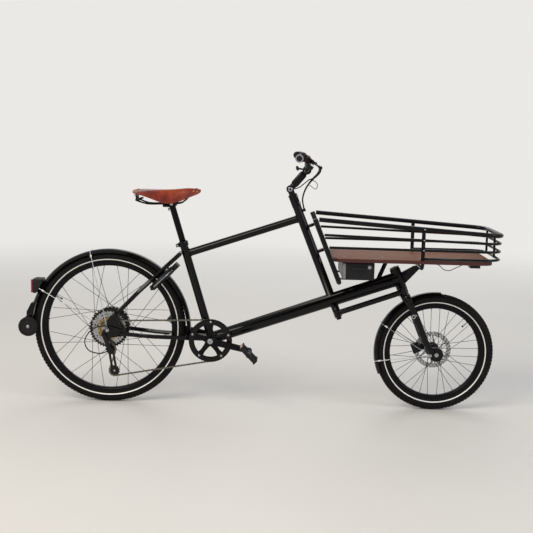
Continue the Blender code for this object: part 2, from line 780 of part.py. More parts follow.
def make_derailleur(frame, cage, guide, tension):
    """Body on the dropout, cage of two plates, and the two pulleys on the cage's pins."""
    plate_gap = CHAIN_WIDTH / 2 + 0.001
    outer = CHAIN_SIDE - plate_gap
    inner = CHAIN_SIDE + plate_gap
    shapes = []
    for start, end in ((outer - 0.0015, outer), (inner, inner + 0.0015)):
        middle = (GUIDE_PULLEY + TENSION_PULLEY) / 2 + (start + end) / 2 * SIDE
        along = TENSION_PULLEY - GUIDE_PULLEY
        shapes.append(slab(middle, along.length, 0.0015, 0.011, along))
        shapes.append(across(GUIDE_PULLEY, start - 0.00005, end + 0.00005, 0.012, 16))
        shapes.append(across(TENSION_PULLEY, start - 0.00005, end + 0.00005, 0.013, 16))
    for centre in (GUIDE_PULLEY, TENSION_PULLEY):
        shapes.append(across(centre, outer - 0.001, inner + 0.001, 0.0025, 10))
    piece("derailleur_cage", "gloss_black", cage, shapes)
    pulley("guide_pulley", guide, GUIDE_PULLEY)
    pulley("tension_pulley", tension, TENSION_PULLEY)
    plate_side = -REAR_DROPOUT_SPACING / 2 - DROPOUT_THICKNESS - GAP
    hanger = REAR_AXLE + Vector((-0.013, 0.0, -0.0285))
    knuckle = across(GUIDE_PULLEY, plate_side - 0.0065, outer - 0.0015 - GAP, 0.0125, 16)
    bolt = across(hanger, plate_side - 0.007, plate_side, 0.0085, 16)
    middle = (hanger + GUIDE_PULLEY) / 2 + (plate_side - 0.003) * SIDE
    link = slab(middle, (GUIDE_PULLEY - hanger).length, 0.0058, 0.017, GUIDE_PULLEY - hanger)
    piece("derailleur_body", "gloss_black", frame, [knuckle, link, bolt])



# Frame

TOP_TUBE_START = on_seat_tube(TOP_TUBE_REAR)
TOP_TUBE_END = on_column(TOP_TUBE_FRONT)
MAIN_TUBE_END = on_fork(MAIN_TUBE_FRONT)
SEAT_TUBE_TOP = on_seat_tube(SEAT_TUBE_LENGTH)
REAR_GUARD_CENTRE = REAR_AXLE - REAR_GUARD_DROP * UP
DECK_BOTTOM_Z = DECK_TOP_Z - DECK_WALL
BATTERY_REAR_X = 0.985
BATTERY_TOP_Z = 0.652


def make_main_frame(body):
    """Seat, top, column, main and head tubes with the bottom bracket shell and the struts under the deck."""
    main = rod(BOTTOM_BRACKET, MAIN_TUBE_END, MAIN_TUBE_RADIUS, 14)
    seat = rod(BOTTOM_BRACKET, SEAT_TUBE_TOP, SEAT_TUBE_RADIUS, 14)
    top = rod(TOP_TUBE_START, TOP_TUBE_END, TOP_TUBE_RADIUS, 12)
    column = rod(on_column(COLUMN_TUBE_BOTTOM), on_column(COLUMN_TUBE_TOP), COLUMN_TUBE_RADIUS, 16)
    head = rod(on_fork(HEAD_TUBE_BOTTOM), on_fork(HEAD_TUBE_TOP), HEAD_TUBE_RADIUS, 16)
    shell = across(BOTTOM_BRACKET, -SHELL_WIDTH / 2, SHELL_WIDTH / 2, SHELL_RADIUS, 20)
    hoop_foot = Vector((BASKET_POST_X, 0.0, HOOP_BOTTOM_Z - GAP))
    ahead = on_fork(HEAD_TUBE_BOTTOM + 0.035, HEAD_TUBE_RADIUS - 0.004)
    behind = on_fork(HEAD_TUBE_TOP - 0.020, HEAD_TUBE_RADIUS - 0.004)
    gusset = plate(
        [
            (ahead.x, ahead.z),
            (hoop_foot.x + 0.012, hoop_foot.z - 0.012),
            (hoop_foot.x + 0.012, hoop_foot.z),
            (hoop_foot.x - 0.012, hoop_foot.z),
            (behind.x, behind.z),
        ],
        -0.006,
        0.006,
    )
    along = (MAIN_TUBE_END - BOTTOM_BRACKET).normalized()
    foot = BOTTOM_BRACKET + 0.745 * along
    strut_top = Vector((foot.x + 0.045, 0.0, DECK_BOTTOM_Z - GAP))
    strut = rod(foot, strut_top - 0.006 * UP, 0.009, 10)
    pad = block(strut_top + Vector((-0.03, -0.03, -0.008)), strut_top + Vector((0.03, 0.03, 0.0)))
    shapes = [main, seat, top, column, head, shell, gusset, strut, pad]
    cuts = [
        bore(on_column(-0.05), on_column(COLUMN_TUBE_TOP + 0.12), STEERING_SHAFT_RADIUS + SHAFT_GAP),
        bore(on_fork(HEAD_TUBE_BOTTOM - 0.09), on_fork(HEAD_TUBE_TOP + 0.10), FORK_STEERER_RADIUS + SHAFT_GAP),
        bore(on_seat_tube(SEATPOST_FOOT - 0.17), on_seat_tube(SEAT_TUBE_LENGTH + 0.16), SEATPOST_RADIUS + GAP),
        bore_across(BOTTOM_BRACKET, -0.06, 0.06, SHELL_RADIUS - SHELL_WALL),
    ]
    piece("main_frame", "gloss_black", body, shapes, cuts)


def make_rear_triangle(body):
    """Chain stays and seat stays between the dropouts and the tubes, with a bridge in each pair."""
    plate_inner = REAR_DROPOUT_SPACING / 2
    middle = plate_inner + DROPOUT_THICKNESS / 2
    axle = REAR_AXLE
    chain_stay_front = BOTTOM_BRACKET + Vector((-0.040, 0.0, 0.004))
    seat_stay_top = on_seat_tube(SEAT_STAY_TOP, -SEAT_TUBE_RADIUS - STAY_RADIUS - 0.001)
    bridge_x = REAR_GUARD_RADIUS + STAY_BRIDGE_RADIUS + GAP
    shapes = []
    for sign in (-1, 1):
        outer = sign * middle
        dropout = plate(
            [
                (axle.x - 0.028, axle.z - 0.024),
                (axle.x - 0.012, axle.z - 0.040),
                (axle.x + 0.062, axle.z - 0.026),
                (axle.x + 0.066, axle.z - 0.006),
                (axle.x + 0.032, axle.z + 0.066),
                (axle.x + 0.010, axle.z + 0.060),
                (axle.x - 0.014, axle.z + 0.012),
            ],
            sign * plate_inner,
            sign * (plate_inner + DROPOUT_THICKNESS),
        )
        chain_stay = pipe(
            [
                axle + Vector((0.050, outer, -0.016)),
                axle + Vector((0.190, sign * 0.0575, -0.028)),
                chain_stay_front + sign * 0.036 * SIDE,
                BOTTOM_BRACKET + Vector((-0.008, sign * 0.024, 0.002)),
            ],
            STAY_RADIUS,
            1,
        )
        seat_stay = pipe(
            [
                axle + Vector((0.026, outer, 0.056)),
                axle + Vector((0.130, sign * 0.058, 0.165)),
                seat_stay_top + sign * 0.032 * SIDE,
            ],
            STAY_RADIUS,
            1,
        )
        shapes += [seat_stay, chain_stay, dropout]
    seat_bridge = across(seat_stay_top, -0.034, 0.034, STAY_RADIUS, 12)
    guard_lug = Vector((bridge_x, 0.0, chain_stay_front.z - 0.002))
    stay_bridge = across(guard_lug, -0.038, 0.038, STAY_BRIDGE_RADIUS, 10)
    shapes += [seat_bridge, stay_bridge]
    cuts = [
        bore_across(axle, -0.10, 0.10, REAR_AXLE_RADIUS + GAP, 12),
        bore_across(BOTTOM_BRACKET, -0.06, 0.06, SHELL_RADIUS + GAP),
        bore(BOTTOM_BRACKET, SEAT_TUBE_TOP, SEAT_TUBE_RADIUS + GAP),
        bore(BOTTOM_BRACKET, MAIN_TUBE_END, MAIN_TUBE_RADIUS + GAP),
        across(BOTTOM_BRACKET, CHAIN_SIDE + 0.0035, -0.12, CHAIN_GUARD_RADIUS + 0.002, 24),
    ]
    piece("rear_triangle", "gloss_black", body, shapes, cuts)


def make_frame_parts(body):
    """Seat clamp, rear axle with its nuts and the bottom bracket's bearing unit."""
    low = on_seat_tube(SEAT_TUBE_LENGTH - 0.020)
    high = on_seat_tube(SEAT_TUBE_LENGTH + 0.001)
    lug = on_seat_tube(SEAT_TUBE_LENGTH - 0.0095, -SEAT_TUBE_RADIUS - 0.008)
    shapes = [rod(low, high, SEAT_TUBE_RADIUS + 0.004, 18), slab(lug, 0.014, 0.020, 0.014, SEAT_UP)]
    room = bore(low - 0.01 * SEAT_UP, high + 0.01 * SEAT_UP, SEAT_TUBE_RADIUS + GAP)
    slit = slab(lug, 0.05, 0.002, 0.030, SEAT_UP)
    piece("seat_clamp", "aluminium", body, shapes, [room, slit])
    nut = REAR_DROPOUT_SPACING / 2 + DROPOUT_THICKNESS + GAP
    axle = turned(
        [
            (0.0, nut + 0.014),
            (REAR_AXLE_RADIUS, nut + 0.014),
            (REAR_AXLE_RADIUS + 0.003, nut + 0.010),
            (REAR_AXLE_RADIUS + 0.003, nut),
            (REAR_AXLE_RADIUS, nut),
            (REAR_AXLE_RADIUS, -nut),
            (REAR_AXLE_RADIUS + 0.003, -nut),
            (REAR_AXLE_RADIUS + 0.003, -nut - 0.010),
            (REAR_AXLE_RADIUS, -nut - 0.014),
            (0.0, -nut - 0.014),
        ],
        REAR_AXLE,
        12,
        closed=False,
    )
    piece("rear_axle", "steel", body, [axle])
    outer = SHELL_RADIUS - SHELL_WALL - GAP
    unit = ring(BOTTOM_BRACKET, outer, SPINDLE_RADIUS + SHAFT_GAP, -SHELL_WIDTH / 2, SHELL_WIDTH / 2, 20)
    piece("bottom_bracket", "steel", body, [unit])


def guard_shell(centre, outer, width, start, end, steps):
    """A mudguard: a shallow channel turned through part of a circle."""
    section = []
    for index in range(5):
        share = index / 4 * 2 - 1
        section.append((outer - GUARD_CROWN * share**2 * 0.6 - GUARD_WALL, share * width / 2))
    mesh = bpy.data.meshes.new("section")
    points = [(radius * math.cos(start), side, radius * math.sin(start)) for radius, side in section]
    mesh.from_pydata(points, [(i, i + 1) for i in range(len(points) - 1)], [])
    shell = bpy.data.objects.new("section", mesh)
    CUTTERS.objects.link(shell)
    screw = shell.modifiers.new("sweep", "SCREW")
    screw.axis = "Y"
    screw.angle = start - end
    screw.steps = steps
    screw.render_steps = steps
    screw.use_merge_vertices = False
    wall = shell.modifiers.new("wall", "SOLIDIFY")
    wall.thickness = GUARD_WALL
    wall.offset = 0.0
    shell.location = centre
    bpy.context.view_layer.update()
    return frozen(shell)


def make_rear_guard(body):
    """Mudguard with wire stays to the dropouts, and the forked end that carries the small rollers."""
    start = math.radians(-6.0)
    end = math.radians(172.0)
    shell = guard_shell(REAR_GUARD_CENTRE, REAR_GUARD_RADIUS, REAR_GUARD_WIDTH, start, end, 26)
    shapes = [shell]
    for angle in (math.radians(104.0), math.radians(150.0)):
        for sign in (-1, 1):
            rim = polar(REAR_GUARD_CENTRE, REAR_GUARD_RADIUS - 0.0045, angle, sign * (REAR_GUARD_WIDTH / 2 - 0.003))
            foot = polar(REAR_AXLE, 0.020, angle, sign * (REAR_DROPOUT_SPACING / 2 + DROPOUT_THICKNESS + 0.003))
            shapes.append(rod(foot, rim, GUARD_STAY_RADIUS, 6))
    roller = ROLLER_AXLE
    inner = [polar(REAR_AXLE, REAR_TYRE_RADIUS + 0.009, math.radians(angle)) for angle in (182, 177, 172, 167, 163)]
    back = roller.x - 0.012
    outline = [(back, inner[0].z), *[(point.x, point.z) for point in inner], (back + 0.020, inner[-1].z + 0.002)]
    shapes.append(plate([*outline, (back, roller.z + 0.060)], -0.0265, 0.0265))
    axle_room = bore_across(roller, -0.06, 0.06, AXLE_RADIUS + SHAFT_GAP, 12)
    piece("rear_mudguard", "gloss_black", body, shapes, [axle_room])
    light_room = bore_across(REAR_GUARD_CENTRE, -0.06, 0.06, REAR_GUARD_RADIUS - GUARD_WALL / 2 + GAP, 72)
    light = block((-0.329, -0.034, 0.469), (-0.288, 0.034, 0.530))
    piece("tail_light", "black_plastic", body, [light], [light_room])
    lens = block((-0.3375, -0.032, 0.471), (-0.329 - GAP, 0.032, 0.528))
    piece("tail_light_lens", "red_lens", body, [lens])


ROLLER_AXLE = Vector((-0.346, 0.0, 0.326))
ROLLER_RADIUS = 0.042


def make_rollers(body):
    """Two small wheels on one axle, for standing the bike on its tail."""
    half = [(AXLE_RADIUS, 0.034), (ROLLER_RADIUS, 0.034), (ROLLER_RADIUS, 0.052), (0.0, 0.052)]
    pair = [*reversed(half), *[(radius, -side) for radius, side in half]]
    piece("tail_rollers", "rubber", body, [turned(pair, ROLLER_AXLE, 20, closed=False)])


LOCK_ANGLE = math.radians(44.0)
LOCK_MIDDLE = 0.305
LOCK_RADIUS = 0.063
LOCK_HALF_WALL = 0.0095
LOCK_SLOT_HALF = 0.0043
SHACKLE_RADIUS = 0.0045
LOCK_PLAY = 0.0017
LOCK_LUG_ANGLE = math.radians(137.0)
LOCK_LUG_REACH = 0.0182
LOCK_OUT = Vector((math.cos(LOCK_ANGLE), 0.0, math.sin(LOCK_ANGLE)))
LOCK_AXIS = Vector((-LOCK_OUT.z, 0.0, LOCK_OUT.x))
LOCK_CENTRE = REAR_AXLE + LOCK_MIDDLE * LOCK_OUT


def lock_point(angle, radius=LOCK_RADIUS):
    """A point of the ring lock: angle 0 is towards the hub and grows towards the right."""
    return LOCK_CENTRE - radius * math.cos(angle) * LOCK_OUT - radius * math.sin(angle) * SIDE


def lock_arc(start, end, count, radius=LOCK_RADIUS):
    """Points round the ring lock between two angles in degrees."""
    return [lock_point(math.radians(start + (end - start) * i / count), radius) for i in range(count + 1)]


def make_ring_lock(body, shackle):
    """A horseshoe round the tyre on the seat stays, and the curved bolt that slides through it."""
    square = math.pi / 4
    horseshoe = pipe(lock_arc(38, 322, 14), LOCK_HALF_WALL * math.sqrt(2), 0, square)
    case = slab(LOCK_CENTRE + (LOCK_RADIUS + 0.016) * LOCK_OUT, 0.034, 0.058, 0.022, LOCK_OUT)
    channel = pipe(lock_arc(0, 359, 26), SHACKLE_RADIUS + LOCK_PLAY, 1)
    slots = []
    for step in (2, 4):
        arc = lock_arc(50, 162, 10, LOCK_RADIUS + step * LOCK_SLOT_HALF * 0.98)
        slots.append(pipe(arc, LOCK_SLOT_HALF * math.sqrt(2), 0, square))
    lugs = []
    for angle in (-LOCK_LUG_ANGLE, LOCK_LUG_ANGLE):
        foot = lock_point(angle)
        lugs.append(rod(foot + 0.007 * LOCK_AXIS, foot + LOCK_LUG_REACH * LOCK_AXIS, 0.005, 8))
    piece("ring_lock", "satin_black", body, [horseshoe, case, *lugs], [channel, *slots])
    bolt = pipe(lock_arc(40, 158, 12), SHACKLE_RADIUS, 1)
    knob = rod(lock_point(math.radians(146)), lock_point(math.radians(146), LOCK_RADIUS + 0.021), 0.0022, 8)
    piece("ring_lock_bolt", "steel", shackle, [bolt, knob])


# Steering


def make_steering(body):
    """The shaft through the column, with the arm at its foot that pushes the tie rod, and the stem's base."""
    arm_top = -ROD_RADIUS - GAP
    arm_middle = on_column(arm_top - ROD_ARM_WALL / 2, 0.0, ROD_SIDE / 2)
    shaft_end = on_column(COLUMN_TUBE_TOP + 0.030)
    shaft = rod(on_column(arm_top - ROD_ARM_WALL), shaft_end, STEERING_SHAFT_RADIUS, 18)
    arm = slab(arm_middle, 0.020, abs(ROD_SIDE), ROD_ARM_WALL * 0.9)
    eye = rod(on_column(arm_top - ROD_ARM_WALL, 0, ROD_SIDE), on_column(arm_top, 0, ROD_SIDE), 0.011, 14)
    pin_top = on_column(ROD_RADIUS + 0.004, 0, ROD_SIDE)
    pin = rod(on_column(arm_top - 0.004, 0, ROD_SIDE), pin_top, ROD_PIN_RADIUS, 10)
    collar = rod(on_column(arm_top - ROD_ARM_WALL), on_column(COLUMN_TUBE_BOTTOM - GAP), 0.0165, 18)
    piece("steering_shaft", "gloss_black", body, [shaft, arm, eye, pin, collar])
    clamp = rod(on_column(COLUMN_TUBE_TOP + GAP), on_column(STEM_PIVOT_HEIGHT - 0.024), STEM_BASE_RADIUS, 20)
    ear_side = STEM_ARM_RADIUS + GAP
    ears = []
    for sign in (-1, 1):
        inner = sign * ear_side
        outer = sign * (ear_side + STEM_EAR_WALL)
        ears.append(across(STEM_PIVOT, inner, outer, 0.0165, 18))
        middle = on_column(STEM_PIVOT_HEIGHT - 0.020, 0.0, (inner + outer) / 2)
        ears.append(slab(middle, 0.026, STEM_EAR_WALL * 0.98, 0.042))
    bolt = across(STEM_PIVOT, -ear_side - STEM_EAR_WALL - 0.003, ear_side + STEM_EAR_WALL + 0.003, 0.0045, 14)
    room = bore(on_column(COLUMN_TUBE_TOP), shaft_end + GAP * STEER_UP, STEERING_SHAFT_RADIUS + GAP)
    piece("stem_base", "gloss_black", body, [clamp, *ears, bolt], [room])


STEM_PIVOT = on_column(STEM_PIVOT_HEIGHT)
BAR_CENTRE = Vector((BAR_X, 0.0, BAR_Z))


def bar_path(sign):
    """Half of the handlebar, from its middle to its end."""
    bends = [
        (0.0, 0.0, 0.0),
        (0.0, 0.048, 0.0),
        (0.003, 0.085, 0.030),
        (-0.004, 0.135, 0.052),
        (-0.022, BAR_HALF_WIDTH - 0.095, 0.057),
        (-0.040, BAR_HALF_WIDTH - 0.004, 0.055),
    ]
    route = [BAR_CENTRE + Vector((x, sign * y, z)) for x, y, z in bends]
    return rounded(route, 0.040, 3)


def bar_point(side):
    """The handlebar's centre at a side distance."""
    path = bar_path(1 if side >= 0 else -1)
    for start, end in zip(path, path[1:]):
        if abs(start.y) <= abs(side) <= abs(end.y):
            return start.lerp(end, (abs(side) - abs(start.y)) / (abs(end.y) - abs(start.y)))
    return path[-1]


def make_stem_and_bar(body):
    """The tilting stem arm, the bar in its clamp and a grip on each end."""
    along = BAR_CENTRE - STEM_PIVOT
    eye = across(STEM_PIVOT, -STEM_ARM_RADIUS, STEM_ARM_RADIUS, 0.0165, 20)
    arm = rod(STEM_PIVOT + 0.010 * along.normalized(), BAR_CENTRE, STEM_ARM_RADIUS * 0.97, 16)
    clamp = across(BAR_CENTRE, -0.022, 0.022, 0.0185, 20)
    bolt_room = bore_across(STEM_PIVOT, -0.03, 0.03, 0.0045 + SHAFT_GAP, 14)
    bar_room = bore_across(BAR_CENTRE, -0.03, 0.03, BAR_RADIUS + GAP)
    piece("stem_arm", "gloss_black", body, [eye, arm, clamp], [bolt_room, bar_room])
    whole = [*reversed(bar_path(-1)), *bar_path(1)[1:]]
    piece("handlebar", "gloss_black", body, [pipe(whole, BAR_RADIUS, 2)])
    for name, sign in (("right_grip", -1), ("left_grip", 1)):
        outer_end = bar_path(sign)[-1] + Vector((-0.0008, sign * 0.004, 0.0))
        start = bar_point(sign * (BAR_HALF_WIDTH - GRIP_LENGTH))
        inner = [start, bar_point(sign * (BAR_HALF_WIDTH - 0.095)), bar_point(sign * (BAR_HALF_WIDTH - 0.050)), outer_end]
        core = [
            bar_point(sign * (BAR_HALF_WIDTH - GRIP_LENGTH - 0.020)),
            *[point for point in bar_path(sign) if BAR_HALF_WIDTH - GRIP_LENGTH - 0.020 < abs(point.y)],
        ]
        core[-1] = core[-1] + GAP * sign * SIDE
        piece(name, "rubber", body, [pipe(inner, GRIP_RADIUS, 2)], [pipe(core, BAR_RADIUS + 2 * GAP, 2)])


LEVER_OUT = Vector((0.866, 0.0, -0.5))
LEVER_AXIS = Vector((0.5, 0.0, 0.866))


def lever_pivot(sign):
    """Where a brake lever turns on its mount."""
    return bar_point(sign * LEVER_MOUNT_SIDE) + 0.034 * LEVER_OUT + sign * 0.006 * SIDE


def make_controls(body, levers, thumb):
    """Brake lever mounts with their levers, and the shifter with its thumb lever."""
    for name, sign in (("right", -1), ("left", 1)):
        seat = bar_point(sign * LEVER_MOUNT_SIDE)
        along = (bar_point(sign * (LEVER_MOUNT_SIDE + 0.01)) - bar_point(sign * (LEVER_MOUNT_SIDE - 0.01))).normalized()
        band = rod(seat - 0.007 * along, seat + 0.007 * along, BAR_RADIUS + 0.0045, 16)
        hinge = lever_pivot(sign)
        body_middle = seat + 0.024 * LEVER_OUT
        bracket = slab(body_middle - sign * 0.006 * SIDE, 0.028, 0.026, 0.016, LEVER_OUT)
        reach = slab(hinge, 0.020, 0.014, 0.016, LEVER_OUT)
        room = pipe(bar_path(sign), BAR_RADIUS + 2 * GAP, 2)
        mouth = slab(hinge + 0.004 * LEVER_OUT + sign * 0.010 * SIDE, 0.040, 0.036, 0.0085, LEVER_OUT)
        pin = rod(hinge - 0.0075 * LEVER_AXIS, hinge + 0.0075 * LEVER_AXIS, 0.0022, 8)
        mount = piece(f"{name}_lever_mount", "gloss_black", body, [band, bracket, reach], [room, mouth])
        combine("UNION", mount, [pin_on(pin, body)], f"{name}_lever_mount_pin")
        tip = hinge + 0.036 * LEVER_OUT + sign * 0.110 * SIDE
        bend = hinge + 0.030 * LEVER_OUT + sign * 0.030 * SIDE
        blade = pipe(rounded([hinge, bend, tip], 0.02), 0.0036, 1)
        boss = rod(hinge - 0.0038 * LEVER_AXIS, hinge + 0.0038 * LEVER_AXIS, 0.0060, 12)
        eye = bore(hinge - 0.02 * LEVER_AXIS, hinge + 0.02 * LEVER_AXIS, 0.0022 + SHAFT_GAP, 8)
        piece(f"{name}_brake_lever", "aluminium", levers[name], [blade, boss], [eye])
    seat = bar_point(SHIFTER_SIDE)
    along = (bar_point(SHIFTER_SIDE - 0.01) - bar_point(SHIFTER_SIDE + 0.01)).normalized()
    band = rod(seat - 0.006 * along, seat + 0.006 * along, BAR_RADIUS + 0.005, 16)
    case = rod(SHIFTER - 0.006 * LEVER_AXIS, SHIFTER + 0.008 * LEVER_AXIS, 0.0165, 16)
    room = pipe(bar_path(-1), BAR_RADIUS + 2 * GAP, 2)
    pin = rod(SHIFTER - 0.013 * LEVER_AXIS, SHIFTER, 0.003, 8)
    piece("shifter", "black_plastic", body, [band, case, pin], [room])
    low = SHIFTER - 0.0112 * LEVER_AXIS
    hub = rod(low - 0.0015 * LEVER_AXIS, low + 0.0035 * LEVER_AXIS, 0.009, 12)
    end = low + Vector((-0.028, -0.012, 0.0))
    paddle = pipe([low, low + Vector((-0.020, -0.004, 0.0)), end], 0.0032, 1)
    eye = bore(SHIFTER - 0.03 * LEVER_AXIS, SHIFTER + 0.01 * LEVER_AXIS, 0.003 + SHAFT_GAP, 8)
    piece("thumb_lever", "black_plastic", thumb, [hub, paddle], [eye])


def pin_on(shape, body):
    """A shape moved into a body's own space, ready for a Boolean."""
    shape.data.transform(Matrix.Translation(-Vector(body["place"])))
    shape.parent = body
    return shape


SHIFTER = bar_point(SHIFTER_SIDE) + Vector((0.010, 0.004, -0.030))


def make_tie_rod(body):
    """The rod from the steering shaft's arm to the fork's arm, with an eye round each pin."""
    rear = on_column(0.0, 0.0, ROD_SIDE)
    front = on_fork(ROD_HEIGHT_ON_FORK, 0.0, ROD_SIDE)
    along = (front - rear).normalized()
    bar = rod(rear + 0.010 * along, front - 0.010 * along, ROD_RADIUS * 0.92, 14)
    eyes = []
    for end in (rear, front):
        eyes.append(rod(end - ROD_RADIUS * STEER_UP, end + ROD_RADIUS * STEER_UP, ROD_RADIUS, 16))
    cuts = [
        bore(rear - 0.03 * STEER_UP, rear + 0.03 * STEER_UP, ROD_PIN_RADIUS + SHAFT_GAP, 10),
        bore(front - 0.03 * STEER_UP, front + 0.03 * STEER_UP, ROD_PIN_RADIUS + ROD_FRONT_PLAY, 10),
    ]
    piece("tie_rod", "gloss_black", body, [bar, *eyes], cuts)


def make_fork(body):
    """The fork with its steerer, the arm's pin for the tie rod, the axle, the mudguard and the caliper."""
    crown_top = CROWN_BOTTOM + CROWN_WALL
    crown = slab(on_fork(CROWN_BOTTOM + CROWN_WALL / 2), CROWN_DEPTH, 2 * LEG_SIDE + 0.020, CROWN_WALL)
    steerer = rod(on_fork(CROWN_BOTTOM + 0.005), on_fork(HEAD_TUBE_TOP + 0.012), FORK_STEERER_RADIUS, 18)
    cap = rod(on_fork(HEAD_TUBE_TOP + GAP), on_fork(HEAD_TUBE_TOP + 0.012), HEAD_TUBE_RADIUS - 0.002, 18)
    pin_top = on_fork(ROD_HEIGHT_ON_FORK + ROD_RADIUS + 0.004, 0, ROD_SIDE)
    pin = rod(on_fork(crown_top - 0.004, 0, ROD_SIDE), pin_top, ROD_PIN_RADIUS, 10)
    shapes = [crown, steerer, cap, pin]
    inner = FRONT_DROPOUT_SPACING / 2
    for sign in (-1, 1):
        side = sign * LEG_SIDE
        route = [
            on_fork(crown_top - 0.004, 0.002, side),
            on_fork(0.180, LEG_FORWARD, side),
            on_fork(0.060, LEG_FORWARD, side),
            on_fork(0.012, FORK_RAKE - 0.010, side),
        ]
        shapes.append(pipe(rounded(route, 0.05, 2), LEG_RADIUS, 3))
        shapes.append(across(FRONT_AXLE, sign * inner, sign * (inner + FORK_END_WALL), FORK_END_RADIUS, 20))
    tab = slab(on_fork(0.034, -0.003, 0.056), 0.020, 0.012, 0.040)
    shapes.append(tab)
    axle_room = bore_across(FRONT_AXLE, -0.10, 0.10, AXLE_RADIUS + GAP, 12)
    piece("fork", "gloss_black", body, shapes, [axle_room])
    nut = inner + FORK_END_WALL + GAP
    axle = turned(
        [
            (0.0, nut + 0.010),
            (AXLE_RADIUS + 0.004, nut + 0.008),
            (AXLE_RADIUS + 0.004, nut),
            (AXLE_RADIUS, nut),
            (AXLE_RADIUS, -nut),
            (AXLE_RADIUS + 0.004, -nut),
            (AXLE_RADIUS + 0.004, -nut - 0.008),
            (0.0, -nut - 0.010),
        ],
        FRONT_AXLE,
        12,
        closed=False,
    )
    piece("front_axle", "steel", body, [axle])
    pads = slab(on_fork(0.034, -0.0305, FRONT_ROTOR_SIDE - 0.0005), 0.0345, 0.019, 0.044)
    slot = across(FRONT_AXLE, FRONT_ROTOR_SIDE - 0.002, FRONT_ROTOR_SIDE + 0.002, ROTOR_RADIUS + 0.002, 32)
    piece("front_caliper", "satin_black", body, [pads], [slot])


def make_front_guard(body):
    """Mudguard under the crown, with wire stays to the fork's ends."""
    radius = FRONT_TYRE_RADIUS + TYRE_GAP + GUARD_WALL
    start = math.radians(86.0)
    end = math.radians(203.0)
    shell = guard_shell(FRONT_AXLE, radius, FRONT_GUARD_WIDTH, start, end, 18)
    under = math.sqrt(radius**2 - FORK_RAKE**2)
    lug = rod(on_fork(under - 0.0015), on_fork(CROWN_BOTTOM - GAP), 0.008, 12)
    shapes = [shell, lug]
    for angle in (math.radians(152.0), math.radians(187.0)):
        for sign in (-1, 1):
            rim = polar(FRONT_AXLE, radius - 0.0045, angle, sign * (FRONT_GUARD_WIDTH / 2 - 0.003))
            outside = FRONT_DROPOUT_SPACING / 2 + FORK_END_WALL + GUARD_STAY_RADIUS * 1.1 + GAP
            foot = polar(FRONT_AXLE, FORK_END_RADIUS - 0.0015, math.radians(186.0), sign * outside)
            shapes.append(rod(foot, rim, GUARD_STAY_RADIUS, 6))
    piece("front_mudguard", "gloss_black", body, shapes)


# Cargo bay


def rail_height(level, slope, x):
    """A rail's height at a distance along the bike: each rail is level at the posts and drops a little ahead."""
    return level - slope * (x - BASKET_POST_X)


def bulkhead_at(level, side=0.0):
    """A point in the bulkhead frame's plane, which stands parallel to the column."""
    return column_at_level(level) + BULKHEAD_AHEAD_OF_COLUMN * FORWARD + side * SIDE


def rail_route(level, slope, tube_radius, front_x, start_x=None):
    """A rail round the basket's front, from one side of the bulkhead to the other."""
    half = BASKET_WIDTH / 2 - BASKET_TUBE_RADIUS
    if start_x is None:
        meeting = rail_height(level, slope, bulkhead_at(level).x)
        reach = (BULKHEAD_TUBE_RADIUS + tube_radius * math.sin(STEER_TILT)) / math.cos(STEER_TILT)
        start_x = bulkhead_at(meeting).x + reach + 2 * GAP
    corners = [(start_x, -half), (front_x, -half), (front_x, half), (start_x, half)]
    route = [Vector((x, y, rail_height(level, slope, x))) for x, y in corners]
    return rounded(route, BASKET_CORNER_RADIUS, 5)


